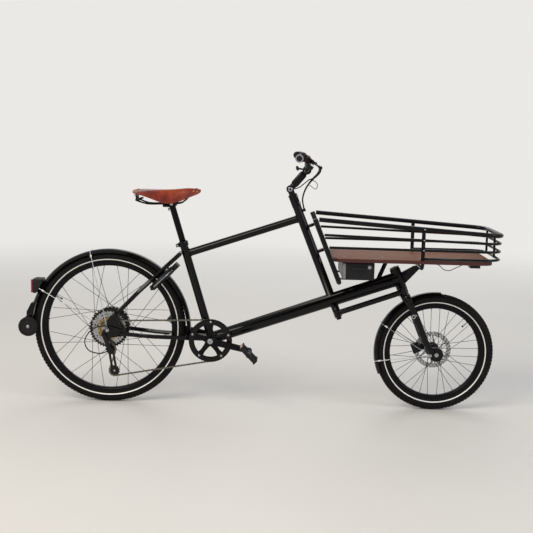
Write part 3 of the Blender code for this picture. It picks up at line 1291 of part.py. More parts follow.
def make_basket(body):
    """Rails, each one bent tube, and the bent strap under the deck that holds them with two front posts."""
    front = BASKET_FRONT_X
    rails = {
        "basket_top_rail": (BASKET_TOP_Z, 0.068, BASKET_TUBE_RADIUS, front),
        "basket_upper_rail": (BASKET_UPPER_Z, 0.030, BASKET_ROD_RADIUS, front - 0.002),
        "basket_middle_rail": (BASKET_MIDDLE_Z, 0.0055, BASKET_ROD_RADIUS, front - 0.004),
    }
    for name, (level, slope, radius, ahead) in rails.items():
        piece(name, "gloss_black", body, [pipe(rail_route(level, slope, radius, ahead), radius, 2)])
    strap_side = BASKET_WIDTH / 2 - BASKET_TUBE_RADIUS
    inside = strap_side - BASKET_TUBE_RADIUS - HOOP_RADIUS - GAP
    post_top = BASKET_TOP_Z
    hoop_z = HOOP_BOTTOM_Z + HOOP_RADIUS
    hoop = pipe(
        rounded(
            [
                (BASKET_POST_X, -inside, post_top),
                (BASKET_POST_X, -inside, hoop_z),
                (BASKET_POST_X, inside, hoop_z),
                (BASKET_POST_X, inside, post_top),
            ],
            0.030,
            4,
        ),
        HOOP_RADIUS,
        2,
    )
    lower = pipe(
        rail_route(BASKET_LOWER_Z, 0.0, BASKET_ROD_RADIUS, front - 0.006, BASKET_POST_X), BASKET_ROD_RADIUS, 2
    )
    shapes = [hoop, lower]
    half = BASKET_WIDTH / 2 - BASKET_TUBE_RADIUS
    for sign in (-1, 1):
        shapes.append(
            rod(
                (BASKET_POST_X, sign * (inside - HOOP_RADIUS / 2), BASKET_LOWER_Z),
                (BASKET_POST_X, sign * half, BASKET_LOWER_Z),
                0.005,
                8,
            )
        )
        foot = Vector((front - 0.006, sign * FRONT_POST_SIDE, BASKET_LOWER_Z))
        reach = front - BASKET_TUBE_RADIUS - 0.0055 - GAP
        shapes.append(rod(foot, foot + Vector((reach - foot.x, 0.0, 0.006)), 0.005, 8))
        top_z = rail_height(BASKET_TOP_Z, 0.068, front)
        shapes.append(
            rod(
                (reach, sign * FRONT_POST_SIDE, BASKET_LOWER_Z),
                (reach, sign * FRONT_POST_SIDE, top_z),
                0.005,
                10,
            )
        )
    piece("basket_hoop", "gloss_black", body, shapes)
    radius = DECK_CORNER_RADIUS
    half = DECK_WIDTH / 2
    corners = [
        Vector((DECK_REAR_X, -half, 0.0)),
        Vector((DECK_FRONT_X, -half, 0.0)),
        Vector((DECK_FRONT_X, half, 0.0)),
        Vector((DECK_REAR_X, half, 0.0)),
    ]
    bends = rounded(corners, radius, 5, closed=True)
    deck = level_plate([(point.x, point.y) for point in bends], DECK_BOTTOM_Z, DECK_TOP_Z)
    notches = []
    for sign in (-1, 1):
        side = sign * (inside + HOOP_RADIUS * 0.4)
        low = (BASKET_POST_X - HOOP_RADIUS - GAP, min(side * 0.88, side * 1.1), DECK_BOTTOM_Z - 0.01)
        high = (BASKET_POST_X + HOOP_RADIUS + GAP, max(side * 0.88, side * 1.1), DECK_TOP_Z + 0.01)
        notches.append(block(low, high))
    piece("cargo_deck", "plywood", body, [deck], notches)


def level_plate(outline, bottom, top):
    """A flat outline of (x, y) points with a thickness between two heights."""
    curve = bpy.data.curves.new("outline", "CURVE")
    curve.dimensions = "2D"
    curve.fill_mode = "BOTH"
    curve.extrude = (top - bottom) / 2
    spline = curve.splines.new("POLY")
    spline.points.add(len(outline) - 1)
    for knot, (x, y) in zip(spline.points, outline):
        knot.co = (x, y, 0.0, 1.0)
    spline.use_cyclic_u = True
    flat = bpy.data.objects.new("outline", curve)
    CUTTERS.objects.link(flat)
    flat.location.z = (top + bottom) / 2
    bpy.context.view_layer.update()
    return frozen(flat)


def make_bulkhead(body, battery):
    """The frame behind the deck, its brackets to the column and the shelf that carries the battery."""
    half = BASKET_WIDTH / 2 - BULKHEAD_TUBE_RADIUS
    outline = [
        bulkhead_at(BULKHEAD_TOP_Z, -half),
        bulkhead_at(BULKHEAD_BOTTOM_Z, -half),
        bulkhead_at(BULKHEAD_BOTTOM_Z, half),
        bulkhead_at(BULKHEAD_TOP_Z, half),
    ]
    shapes = [pipe(rounded(outline, 0.045, 4), BULKHEAD_TUBE_RADIUS, 2)]
    for level in (0.797, 0.690):
        cross = bulkhead_at(level)
        shapes.append(rod(cross - half * SIDE, cross + half * SIDE, BULKHEAD_TUBE_RADIUS * 0.8, 10))
        reach = (cross - column_at_level(level)).dot(STEER_FORWARD)
        column = cross - reach * STEER_FORWARD
        start = column + (COLUMN_TUBE_RADIUS - 0.006) * STEER_FORWARD
        shapes.append(slab((start + cross) / 2, (cross - start).length, 0.030, 0.012))
    shelf_z = BATTERY_TOP_Z - BATTERY_HEIGHT - GAP
    shelf_rear = bulkhead_at(BULKHEAD_BOTTOM_Z).x
    shelf_front = BATTERY_REAR_X + BATTERY_LENGTH
    for side in (-0.115, 0.115):
        shapes.append(
            block((shelf_rear, side - 0.015, shelf_z - 0.0045), (shelf_front, side + 0.015, shelf_z))
        )
    column_room = bore(on_column(0.0), on_column(COLUMN_TUBE_TOP + 0.12), COLUMN_TUBE_RADIUS + GAP)
    piece("bulkhead_frame", "gloss_black", body, shapes, [column_room])
    low = (BATTERY_REAR_X, -BATTERY_WIDTH / 2, BATTERY_TOP_Z - BATTERY_HEIGHT)
    high = (BATTERY_REAR_X + BATTERY_LENGTH, BATTERY_WIDTH / 2, BATTERY_TOP_Z)
    pack = block(low, high)
    handle = block(
        (BATTERY_REAR_X + 0.035, -BATTERY_WIDTH / 2 - 0.012, BATTERY_TOP_Z - 0.030),
        (BATTERY_REAR_X + 0.095, -BATTERY_WIDTH / 2 + 0.002, BATTERY_TOP_Z - 0.018),
    )
    piece("battery", "black_plastic", battery, [pack, handle])


def make_headlight(body):
    """A lamp under the front of the deck, on a bracket."""
    low = Vector((1.533, -0.026, 0.6225))
    high = Vector((1.577, 0.026, 0.6490))
    case = block(low, high)
    foot = block((low.x + 0.006, -0.014, high.z - 0.002), (low.x + 0.034, 0.014, DECK_BOTTOM_Z - GAP))
    piece("headlight", "gloss_black", body, [case, foot])


# Seat


def make_seat(body):
    """Seatpost with its clamp, the saddle's rails and frame, and the leather cover."""
    head = on_seat_tube((SEATPOST_HEAD - BOTTOM_BRACKET_Z) / SEAT_UP.z)
    post = rod(on_seat_tube(SEATPOST_FOOT), head, SEATPOST_RADIUS, 18)
    clamp = across(Vector((head.x, 0.0, RAIL_Z)), -RAIL_SIDE - 0.0065, RAIL_SIDE + 0.0065, 0.0105, 16)
    neck = rod(head - 0.012 * SEAT_UP, Vector((head.x, 0.0, RAIL_Z)), SEATPOST_RADIUS * 0.95, 14)
    rooms = []
    rails = []
    rear_x = SADDLE_REAR_X + 0.020
    nose_x = SADDLE_REAR_X + SADDLE_LENGTH - 0.028
    for sign in (-1, 1):
        route = [
            (rear_x, sign * 0.046, SADDLE_TOP_Z - 0.042),
            (rear_x + 0.045, sign * (RAIL_SIDE + 0.008), RAIL_Z),
            (head.x - 0.030, sign * RAIL_SIDE, RAIL_Z),
            (head.x + 0.045, sign * RAIL_SIDE, RAIL_Z),
            (nose_x - 0.010, sign * 0.008, SADDLE_TOP_Z - 0.024),
        ]
        rails.append(pipe(rounded(route, 0.02, 2), RAIL_RADIUS, 2))
        seat = Vector((head.x, sign * RAIL_SIDE, RAIL_Z))
        rooms.append(bore(seat - 0.03 * FORWARD, seat + 0.03 * FORWARD, RAIL_RADIUS + GAP, 12))
    piece("seatpost", "aluminium", body, [post, neck, clamp], rooms)
    back = pipe(
        rounded(
            [
                (rear_x + 0.018, -0.055, SADDLE_TOP_Z - 0.038),
                (rear_x - 0.001, -0.045, SADDLE_TOP_Z - 0.042),
                (rear_x - 0.001, 0.045, SADDLE_TOP_Z - 0.042),
                (rear_x + 0.018, 0.055, SADDLE_TOP_Z - 0.038),
            ],
            0.02,
            2,
        ),
        0.0045,
        1,
    )
    nose = block((nose_x - 0.016, -0.012, SADDLE_TOP_Z - 0.029), (nose_x + 0.004, 0.012, SADDLE_TOP_Z - 0.019))
    rivets = []
    holes = []
    for x, y in ((rear_x, -0.036), (rear_x, 0.0), (rear_x, 0.036), (nose_x - 0.006, 0.0)):
        foot = Vector((x, y, SADDLE_TOP_Z - (0.043 if x == rear_x else 0.025)))
        top = Vector((x, y, SADDLE_TOP_Z - (0.002 if y else -0.0005)))
        rivets.append(rod(foot, top, RIVET_RADIUS, 8))
        holes.append(bore(foot, top + 0.01 * UP, RIVET_RADIUS + GAP, 8))
    piece("saddle_frame", "satin_black", body, [back, *rails, nose, *rivets])
    piece("saddle_cover", "leather", body, [saddle_shell()], holes)


def saddle_shell():
    """The leather: a coarse sheet, wide and round behind and narrow at the nose, smoothed and given its wall."""
    stations = 7
    lanes = 6
    bm = bmesh.new()
    rows = []
    for index in range(stations):
        share = index / (stations - 1)
        x = SADDLE_REAR_X + SADDLE_LENGTH * share
        spread = SADDLE_NOSE_WIDTH + (SADDLE_WIDTH - SADDLE_NOSE_WIDTH) * (1 - share) ** 1.35
        if index == 0:
            spread *= 0.80
        crown = SADDLE_TOP_Z - 0.008 * math.sin(math.pi * min(1.0, share * 1.15))
        drop = SADDLE_SKIRT * (0.55 + 0.75 * math.exp(-((share - 0.52) / 0.26) ** 2))
        row = []
        for lane in range(lanes + 1):
            across_share = lane / lanes * 2 - 1
            bend = abs(across_share) ** 2.6
            side = spread / 2 * (1.05 * across_share - 0.05 * across_share**7)
            row.append(bm.verts.new((x, side, crown - drop * bend)))
        rows.append(row)
    for near, far in zip(rows, rows[1:]):
        for lane in range(lanes):
            bm.faces.new((near[lane], far[lane], far[lane + 1], near[lane + 1]))
    mesh = bpy.data.meshes.new("saddle")
    bm.to_mesh(mesh)
    bm.free()
    sheet = bpy.data.objects.new("saddle", mesh)
    CUTTERS.objects.link(sheet)
    smooth = sheet.modifiers.new("smooth", "SUBSURF")
    smooth.levels = 1
    smooth.render_levels = 1
    wall = sheet.modifiers.new("wall", "SOLIDIFY")
    wall.thickness = LEATHER_WALL
    wall.offset = -1.0
    bpy.context.view_layer.update()
    return frozen(sheet)


# Cables


def make_cables(body, frame):
    """Two brake hoses and the gear cable from the bar to the column, and the gear cable's loop at the rear."""
    port = on_column(COLUMN_TUBE_TOP - 0.026, COLUMN_TUBE_RADIUS + 0.006)
    hoses = []
    for sign in (-1, 1):
        route = [
            bar_point(sign * LEVER_MOUNT_SIDE) + Vector((HOSE_START_AHEAD, -sign * 0.0215, HOSE_START_RISE)),
            bar_point(sign * LEVER_MOUNT_SIDE) + Vector((HOSE_START_AHEAD + 0.020, -sign * 0.058, HOSE_START_RISE - 0.013)),
            Vector((0.878, sign * 0.075, 1.012)),
            Vector((0.866, sign * 0.036, 0.962)),
            Vector((0.842, sign * 0.014, 0.910)),
            port + Vector((0.004, sign * 0.005, 0.012)),
            port + Vector((0.0, sign * 0.005, 0.0)),
        ]
        hoses.append(pipe(rounded(route, 0.05, 2), HOSE_RADIUS, 1))
    gland = slab(port + 0.0005 * STEER_FORWARD, 0.0125 - 2 * GAP, 0.020, 0.012)
    column_room = bore(on_column(0.0), on_column(COLUMN_TUBE_TOP + 0.12), COLUMN_TUBE_RADIUS + GAP)
    piece("brake_hoses", "black_plastic", body, [gland, *hoses], [column_room])
    route = [
        Vector((-0.0065, -0.070, 0.2300)),
        Vector((-0.0300, -0.074, 0.2210)),
        Vector((-0.0800, -0.086, 0.2330)),
        Vector((-0.1000, -0.088, 0.2750)),
        Vector((-0.0750, -0.087, 0.3250)),
        Vector((-0.0200, -0.086, 0.3500)),
        Vector((0.0500, -0.0835, 0.3300)),
        Vector((0.1250, -0.0758, 0.3045)),
    ]
    gear = pipe(rounded(route, 0.05, 3), HOSE_RADIUS, 1)
    piece("gear_cable", "black_plastic", frame, [gear])


FRAME = ROOT
REAR_WHEEL = pivot("rear_wheel_spin", REAR_AXLE, FRAME)
CASSETTE = pivot("cassette_spin", REAR_AXLE, FRAME)
CRANK = pivot("crank_spin", BOTTOM_BRACKET, FRAME)
RIGHT_PEDAL = pivot("right_pedal_spin", pedal_axle(-1), CRANK)
LEFT_PEDAL = pivot("left_pedal_spin", pedal_axle(1), CRANK)
CAGE = pivot("cage_swing", GUIDE_PULLEY, FRAME)
GUIDE = pivot("guide_pulley_spin", GUIDE_PULLEY, CAGE)
TENSION = pivot("tension_pulley_spin", TENSION_PULLEY, CAGE)
ROLLERS = pivot("roller_spin", ROLLER_AXLE, FRAME)
LOCK = pivot("lock_bolt_slide", LOCK_CENTRE, FRAME)
FORK = pivot("fork_steer", FORK_FOOT, FRAME)
FRONT_WHEEL = pivot("front_wheel_spin", FRONT_AXLE, FORK)
make_rear_wheel(REAR_WHEEL)
make_front_wheel(FRONT_WHEEL)
make_cassette(CASSETTE)
make_cranks(CRANK)
make_pedal("right_pedal", RIGHT_PEDAL, -1)
make_pedal("left_pedal", LEFT_PEDAL, 1)
make_chain(FRAME)
make_derailleur(FRAME, CAGE, GUIDE, TENSION)
make_main_frame(FRAME)
make_rear_triangle(FRAME)
make_frame_parts(FRAME)
make_rear_guard(FRAME)
make_rollers(ROLLERS)
make_ring_lock(FRAME, LOCK)
STEER = pivot("steer", COLUMN_FOOT, FRAME)
STEM = pivot("stem_tilt", STEM_PIVOT, STEER)
TIE_ROD = pivot("tie_rod_turn", on_column(0.0, 0.0, ROD_SIDE), STEER)
LEVERS = {
    "right": pivot("right_brake_pull", lever_pivot(-1), STEM),
    "left": pivot("left_brake_pull", lever_pivot(1), STEM),
}
THUMB = pivot("thumb_lever_push", SHIFTER, STEM)
make_steering(STEER)
make_stem_and_bar(STEM)
make_controls(STEM, LEVERS, THUMB)
make_tie_rod(TIE_ROD)
make_fork(FORK)
make_front_guard(FORK)
BATTERY = pivot("battery_slide", (BATTERY_REAR_X, 0.0, BATTERY_TOP_Z), FRAME)
SEAT = pivot("seatpost_slide", SEAT_TUBE_TOP, FRAME)
make_basket(FRAME)
make_bulkhead(FRAME, BATTERY)
make_headlight(FRAME)
make_seat(SEAT)
TAIL_X = ROLLER_AXLE.x - ROLLER_RADIUS
NOSE_X = WHEELBASE + FRONT_TYRE_RADIUS
ROOT.location.x = -(TAIL_X + NOSE_X) / 2
make_cables(STEM, FRAME)
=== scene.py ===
"""Electric cargo bike with a rail basket: the looks of each piece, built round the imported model.

Lengths are in metres. +X points forward, +Y to the rider's left and +Z up, and the floor is at 0.
"""

import json
import logging
from dataclasses import dataclass, field
from enum import Enum
from math import acos, atan2, copysign, cos, pi, radians, sin, sqrt, tau
from typing import Callable, Iterable, Sequence

import bpy
from mathutils import Matrix, Vector

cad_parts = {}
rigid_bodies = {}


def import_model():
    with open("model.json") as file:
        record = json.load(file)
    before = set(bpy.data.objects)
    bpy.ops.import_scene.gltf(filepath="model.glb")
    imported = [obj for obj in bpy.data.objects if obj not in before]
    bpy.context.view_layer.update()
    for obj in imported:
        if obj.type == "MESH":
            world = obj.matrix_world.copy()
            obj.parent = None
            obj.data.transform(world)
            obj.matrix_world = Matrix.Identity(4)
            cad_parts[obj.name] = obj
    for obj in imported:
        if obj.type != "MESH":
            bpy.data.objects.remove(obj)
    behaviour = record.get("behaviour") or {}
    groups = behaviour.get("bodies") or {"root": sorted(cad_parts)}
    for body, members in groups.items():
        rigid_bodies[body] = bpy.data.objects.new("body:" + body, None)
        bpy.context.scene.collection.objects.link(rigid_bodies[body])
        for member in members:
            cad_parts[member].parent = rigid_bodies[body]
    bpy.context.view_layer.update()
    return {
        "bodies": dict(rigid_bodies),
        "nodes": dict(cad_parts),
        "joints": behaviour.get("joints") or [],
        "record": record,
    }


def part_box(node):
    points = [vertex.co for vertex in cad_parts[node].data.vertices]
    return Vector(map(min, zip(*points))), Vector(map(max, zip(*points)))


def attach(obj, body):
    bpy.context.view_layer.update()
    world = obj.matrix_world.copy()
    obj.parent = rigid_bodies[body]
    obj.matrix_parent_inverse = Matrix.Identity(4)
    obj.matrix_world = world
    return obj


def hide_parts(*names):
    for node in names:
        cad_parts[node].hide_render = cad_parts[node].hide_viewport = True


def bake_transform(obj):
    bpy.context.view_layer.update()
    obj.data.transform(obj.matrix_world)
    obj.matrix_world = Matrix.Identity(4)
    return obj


LOG = logging.getLogger("cargo_bike")
Piece = bpy.types.Object
Material = bpy.types.Material
Socket = bpy.types.NodeSocket
Points = Sequence[Vector]
Profile = Sequence[tuple[float, float]]

SIDE = Vector((0.0, 1.0, 0.0))
UP = Vector((0.0, 0.0, 1.0))
FORWARD = Vector((1.0, 0.0, 0.0))
MM = 0.001
WELD = 0.02 * MM
FINE_WELD = 0.01 * MM

# The bike's main points and directions, as in the CAD model
REAR_AXLE = Vector((-0.6325, 0.0, 0.3265))
FRONT_AXLE = Vector((0.7675, 0.0, 0.253))
BOTTOM_BRACKET = Vector((-0.1955, 0.0, 0.287))
COLUMN_FOOT = Vector((0.3415, 0.0, 0.42))
STEER_TILT = radians(22.3)
STEER_UP = Vector((-sin(STEER_TILT), 0.0, cos(STEER_TILT)))
STEER_FORWARD = Vector((cos(STEER_TILT), 0.0, sin(STEER_TILT)))
FORK_FOOT = FRONT_AXLE - 0.035 * STEER_FORWARD
SEAT_TILT = radians(17.2)
SEAT_UP = Vector((-sin(SEAT_TILT), 0.0, cos(SEAT_TILT)))
STEM_PIVOT = COLUMN_FOOT + 0.5607 * STEER_UP
BAR_CENTRE = Vector((0.1975, 0.0, 1.021))


class Body(str, Enum):
    """The rigid bodies of the CAD model that the pieces ride on."""

    FRAME = "frame"
    REAR_WHEEL = "rear_wheel"
    CASSETTE = "cassette"
    CRANK = "crank"
    RIGHT_PEDAL = "right_pedal"
    LEFT_PEDAL = "left_pedal"
    CAGE = "derailleur_cage"
    GUIDE = "guide_pulley"
    TENSION = "tension_pulley"
    ROLLERS = "tail_rollers"
    LOCK = "lock_bolt"
    COLUMN = "steering_column"
    STEM = "stem"
    RIGHT_LEVER = "right_brake_lever"
    LEFT_LEVER = "left_brake_lever"
    THUMB = "thumb_lever"
    TIE_ROD = "tie_rod"
    FORK = "fork"
    FRONT_WHEEL = "front_wheel"
    BATTERY = "battery"
    SEAT = "seatpost"


class Slot(str, Enum):
    """The material slots of the part's record."""

    GLOSS_BLACK = "gloss_black"
    SATIN_BLACK = "satin_black"
    BLACK_PLASTIC = "black_plastic"
    RUBBER = "rubber"
    TYRE = "tyre"
    STEEL = "steel"
    ALUMINIUM = "aluminium"
    LEATHER = "leather"
    PLYWOOD = "plywood"
    RED_LENS = "red_lens"


def on_column(height: float, forward: float = 0.0, side: float = 0.0) -> Vector:
    """Returns a point by its height up the steering column, ahead of its axis and to its left."""
    return COLUMN_FOOT + height * STEER_UP + forward * STEER_FORWARD + side * SIDE


def on_fork(height: float, forward: float = 0.0, side: float = 0.0) -> Vector:
    """Returns a point by its height up the fork's axis, ahead of it and to its left."""
    return FORK_FOOT + height * STEER_UP + forward * STEER_FORWARD + side * SIDE


def on_seat_tube(height: float, forward: float = 0.0, side: float = 0.0) -> Vector:
    """Returns a point by its distance up the seat tube from the bottom bracket."""
    ahead = Vector((SEAT_UP.z, 0.0, -SEAT_UP.x))
    return BOTTOM_BRACKET + height * SEAT_UP + forward * ahead + side * SIDE


def mirrored(half: Profile) -> list[tuple[float, float]]:
    """Returns a profile followed by its mirror image on the other side."""
    return [*half, *((radius, -side) for radius, side in reversed(half))]


def polar(centre: Vector, radius: float, angle: float, side: float = 0.0) -> Vector:
    """Returns a point round a centre in the XZ plane: angle 0 is forward, a quarter turn is up."""
    return centre + Vector((radius * cos(angle), side, radius * sin(angle)))


def bent(
    points: Iterable[Sequence[float]], radius: float, steps: int = 8, closed: bool = False
) -> list[Vector]:
    """Replaces each corner of a route with a smooth bend.

    Args:
        points: the route's corners.
        radius: how far from the corner the bend starts.
        steps: the number of steps in a bend.
        closed: whether the route runs back to its first point.

    Returns:
        The points of the smoothed route.
    """
    route = [Vector(point) for point in points]
    count = len(route)
    smooth: list[Vector] = []
    for index, corner in enumerate(route):
        if not closed and index in (0, count - 1):
            smooth.append(corner)
            continue
        before = route[index - 1] - corner
        after = route[(index + 1) % count] - corner
        reach = min(radius, before.length / 2, after.length / 2)
        start = corner + before.normalized() * reach
        end = corner + after.normalized() * reach
        for step in range(steps + 1):
            share = step / steps
            smooth.append((1 - share) ** 2 * start + 2 * share * (1 - share) * corner + share**2 * end)
    return smooth


def select_only(*pieces: Piece) -> None:
    """Deselects all, then selects the pieces and makes the first one active."""
    bpy.ops.object.select_all(action="DESELECT")
    for piece in pieces:
        piece.select_set(True)
    bpy.context.view_layer.objects.active = pieces[0]


def in_edit_mode(piece: Piece, *moves: Callable[[], object]) -> None:
    """Runs operators on the whole mesh of a piece in edit mode."""
    select_only(piece)
    bpy.ops.object.mode_set(mode="EDIT")
    bpy.ops.mesh.select_all(action="SELECT")
    for move in moves:
        move()
    bpy.ops.object.mode_set(mode="OBJECT")


def seat_in_place(piece: Piece) -> Piece:
    """Moves a piece's place and turn into its mesh, so that its object sits at the origin."""
    select_only(piece)
    bpy.ops.object.transform_apply(location=True, rotation=True, scale=True)
    return piece


def welded(piece: Piece, distance: float = WELD) -> Piece:
    """Merges a mesh's doubles and turns its faces outwards."""
    in_edit_mode(
        piece, lambda: bpy.ops.mesh.remove_doubles(threshold=distance),
        lambda: bpy.ops.mesh.normals_make_consistent(inside=False)
    )
    return piece


def with_modifier(piece: Piece, kind: str, **settings: object) -> Piece:
    """Adds a modifier with its settings and applies it."""
    select_only(piece)
    modifier = piece.modifiers.new(kind.lower(), kind)
    for name, value in settings.items():
        setattr(modifier, name, value)
    bpy.ops.object.modifier_apply(modifier=modifier.name)
    return piece


def eased(piece: Piece, width: float, segments: int = 2, angle: float = 40.0) -> Piece:
    """Bevels a piece's sharp edges."""
    return with_modifier(
        piece, "BEVEL", width=width, segments=segments, limit_method="ANGLE", angle_limit=radians(angle)
    )


def joined(*pieces: Piece) -> Piece:
    """Joins several meshes into one object."""
    select_only(*pieces)
    if len(pieces) > 1:
        bpy.ops.object.join()
    return pieces[0]


def mesh_object(points: Iterable[Sequence[float]], edges: Sequence, faces: Sequence) -> Piece:
    """Makes a mesh object from points, edges and faces."""
    mesh = bpy.data.meshes.new("shape")
    mesh.from_pydata([tuple(point) for point in points], list(edges), list(faces))
    piece = bpy.data.objects.new("shape", mesh)
    bpy.context.scene.collection.objects.link(piece)
    return piece


def lathed(profile: Profile, centre: Vector, axis: Vector = SIDE, steps: int = 64) -> Piece:
    """Spins a profile round an axis.

    Args:
        profile: (radius, distance along the axis) pairs. It is closed, unless it starts on the axis.
        centre: the point of the axis that the distances start from.
        axis: the axis of the spin.
        steps: the number of steps in the turn.

    Returns:
        The spun mesh, welded, with its faces outwards.
    """
    line = axis.normalized()
    outward = line.cross(UP if abs(line.z) < 0.9 else FORWARD).normalized()
    points = [centre + radius * outward + along * line for radius, along in profile]
    count = len(points)
    edges = [(i, (i + 1) % count) for i in range(count if profile[0][0] > 0 else count - 1)]
    piece = mesh_object(points, edges, [])
    in_edit_mode(
        piece, lambda: bpy.ops.mesh.spin(steps=steps, angle=tau, center=tuple(centre), axis=tuple(line))
    )
    return welded(piece)


def ring(
    centre: Vector, inner: float, outer: float, low: float, high: float, axis: Vector = SIDE,
    steps: int = 40
) -> Piece:
    """Makes a flat ring between two distances along its axis, or a disc if its inner radius is 0."""
    return lathed([(inner, low), (outer, low), (outer, high), (inner, high)], centre, axis, steps)


def tube(points: Points, radius: float, sides: int = 6) -> Piece:
    """Makes a round bar that follows the points. Its section has 4 + 2 x sides corners."""
    curve = bpy.data.curves.new("route", "CURVE")
    curve.dimensions = "3D"
    curve.use_fill_caps = True
    curve.bevel_depth = radius
    curve.bevel_resolution = sides
    spline = curve.splines.new("POLY")
    spline.points.add(len(points) - 1)
    for knot, point in zip(spline.points, points):
        knot.co = (*point, 1.0)
    piece = bpy.data.objects.new("route", curve)
    bpy.context.scene.collection.objects.link(piece)
    select_only(piece)
    bpy.ops.object.convert(target="MESH")
    return welded(bpy.context.view_layer.objects.active)


def bar(start: Vector, end: Vector, radius: float, sides: int = 32, ease: float = 0.0) -> Piece:
    """Makes a straight round bar between two points, with eased ends if asked."""
    along = end - start
    bpy.ops.object.select_all(action="DESELECT")
    bpy.ops.mesh.primitive_cylinder_add(
        vertices=sides, radius=radius, depth=along.length, location=(start + end) / 2,
        rotation=along.to_track_quat("Z", "Y").to_euler()
    )
    piece = seat_in_place(bpy.context.view_layer.objects.active)
    return eased(piece, ease, 2) if ease else piece


def slab(
    centre: Vector, size: Sequence[float], along: Vector = FORWARD, ease: float = 0.001, segments: int = 2
) -> Piece:
    """Makes an eased block. Its size runs along a direction, sideways and square to both."""
    bpy.ops.object.select_all(action="DESELECT")
    bpy.ops.mesh.primitive_cube_add(size=1.0)
    piece = bpy.context.view_layer.objects.active
    first = along.normalized()
    across = SIDE - SIDE.dot(first) * first
    across = across.normalized() if across.length > 1e-4 else FORWARD.copy()
    turn = Matrix((first, across, first.cross(across))).transposed().to_4x4()
    piece.matrix_world = Matrix.Translation(centre) @ turn @ Matrix.Diagonal((*size, 1.0))
    seat_in_place(piece)
    return eased(piece, ease, segments) if ease else piece


def block(low: Sequence[float], high: Sequence[float], ease: float = 0.001, segments: int = 2) -> Piece:
    """Makes an eased block between two corners."""
    lowest, highest = Vector(low), Vector(high)
    return slab((lowest + highest) / 2, highest - lowest, FORWARD, ease, segments)


def prism(outline: Profile, start: float, end: float, ease: float = 0.0, segments: int = 2) -> Piece:
    """Extrudes a flat outline of (x, z) points between two side distances."""
    points = [(x, start, z) for x, z in outline]
    piece = mesh_object(points, [], [tuple(range(len(points)))])
    in_edit_mode(
        piece,
        lambda: bpy.ops.mesh.extrude_region_move(TRANSFORM_OT_translate={"value": (0.0, end - start, 0.0)}),
        lambda: bpy.ops.mesh.select_all(action="SELECT"),
        lambda: bpy.ops.mesh.normals_make_consistent(inside=False)
    )
    return eased(piece, ease, segments, 50.0) if ease else piece


def copies(piece: Piece, places: Iterable[Matrix]) -> Piece:
    """Joins copies of a piece, each with its own mesh, set by the given matrices."""
    made = []
    for place in places:
        other = piece.copy()
        other.data = piece.data.copy()
        other.data.transform(place)
        bpy.context.scene.collection.objects.link(other)
        made.append(other)
    bpy.data.objects.remove(piece)
    return joined(*made)


def turn_about(centre: Vector, angle: float, axis: Vector = SIDE) -> Matrix:
    """Returns the matrix that turns about a line through a point."""
    return Matrix.Translation(centre) @ Matrix.Rotation(angle, 4, axis) @ Matrix.Translation(-centre)


def round_copies(piece: Piece, centre: Vector, count: int) -> Piece:
    """Joins equally spaced copies of a piece round the sideways line through a point."""
    return copies(piece, [turn_about(centre, index * tau / count) for index in range(count)])


def cut_by(piece: Piece, tool: Piece) -> Piece:
    """Cuts one mesh out of another and removes the tool."""
    with_modifier(piece, "BOOLEAN", operation="DIFFERENCE", solver="EXACT", object=tool)
    bpy.data.objects.remove(tool)
    return piece


def from_cad(node: str, ease: float = 0.0, segments: int = 2) -> Piece:
    """Copies a CAD node's mesh with its triangles joined up, and eases its edges if asked."""
    source = bpy.data.objects[node]
    piece = source.copy()
    piece.data = source.data.copy()
    piece.parent = None
    for key in list(piece.keys()):
        del piece[key]
    piece.data.materials.clear()
    bpy.context.scene.collection.objects.link(piece)
    in_edit_mode(
        piece, lambda: bpy.ops.mesh.remove_doubles(threshold=WELD),
        lambda: bpy.ops.mesh.dissolve_limited(angle_limit=radians(0.6))
    )
    return eased(piece, ease, segments) if ease else piece


def button_bolt(place: Vector, axis: Vector, radius: float, height: float) -> Piece:
    """Makes a domed bolt head with a socket in it, standing on a point."""
    profile = [
        (0.0, 0.0), (radius, 0.0), (radius, height * 0.45), (radius * 0.86, height * 0.8),
        (radius * 0.55, height), (radius * 0.48, height * 0.98), (radius * 0.46, height * 0.3),
        (0.0, height * 0.3)
    ]
    return lathed(profile, place, axis, 20)


def hex_nut(place: Vector, axis: Vector, radius: float, height: float) -> Piece:
    """Makes a six-sided nut with a rounded end of its bolt, standing on a point."""
    nut = bar(place, place + height * axis, radius, 6, radius * 0.07)
    thread = radius * 0.5
    dome = [
        (0.0, 0.0), (thread, 0.0), (thread, height * 1.3), (thread * 0.7, height * 1.45),
        (0.0, height * 1.48)
    ]
    return joined(nut, lathed(dome, place, axis, 16))


def linear(code: str) -> tuple[float, float, float, float]:
    """Turns an sRGB hex colour into linear light."""
    values = [int(code[place : place + 2], 16) / 255 for place in (1, 3, 5)]
    red, green, blue = (v / 12.92 if v <= 0.04045 else ((v + 0.055) / 1.055) ** 2.4 for v in values)
    return red, green, blue, 1.0


def add_node(
    material: Material, kind: str, inputs: dict[str | int, object], **settings: object
) -> bpy.types.Node:
    """Adds a shader node.

    Args:
        material: the material or world that takes the node.
        kind: the node's type, without the word that all shader nodes start with.
        inputs: for each named input, its value or the output that feeds it.
        settings: the node's own options.

    Returns:
        The new node.
    """
    tree = material.node_tree
    node = tree.nodes.new(f"ShaderNode{kind}")
    for name, value in settings.items():
        setattr(node, name, value)
    for name, value in inputs.items():
        if isinstance(value, Socket):
            tree.links.new(value, node.inputs[name])
        else:
            node.inputs[name].default_value = value
    return node


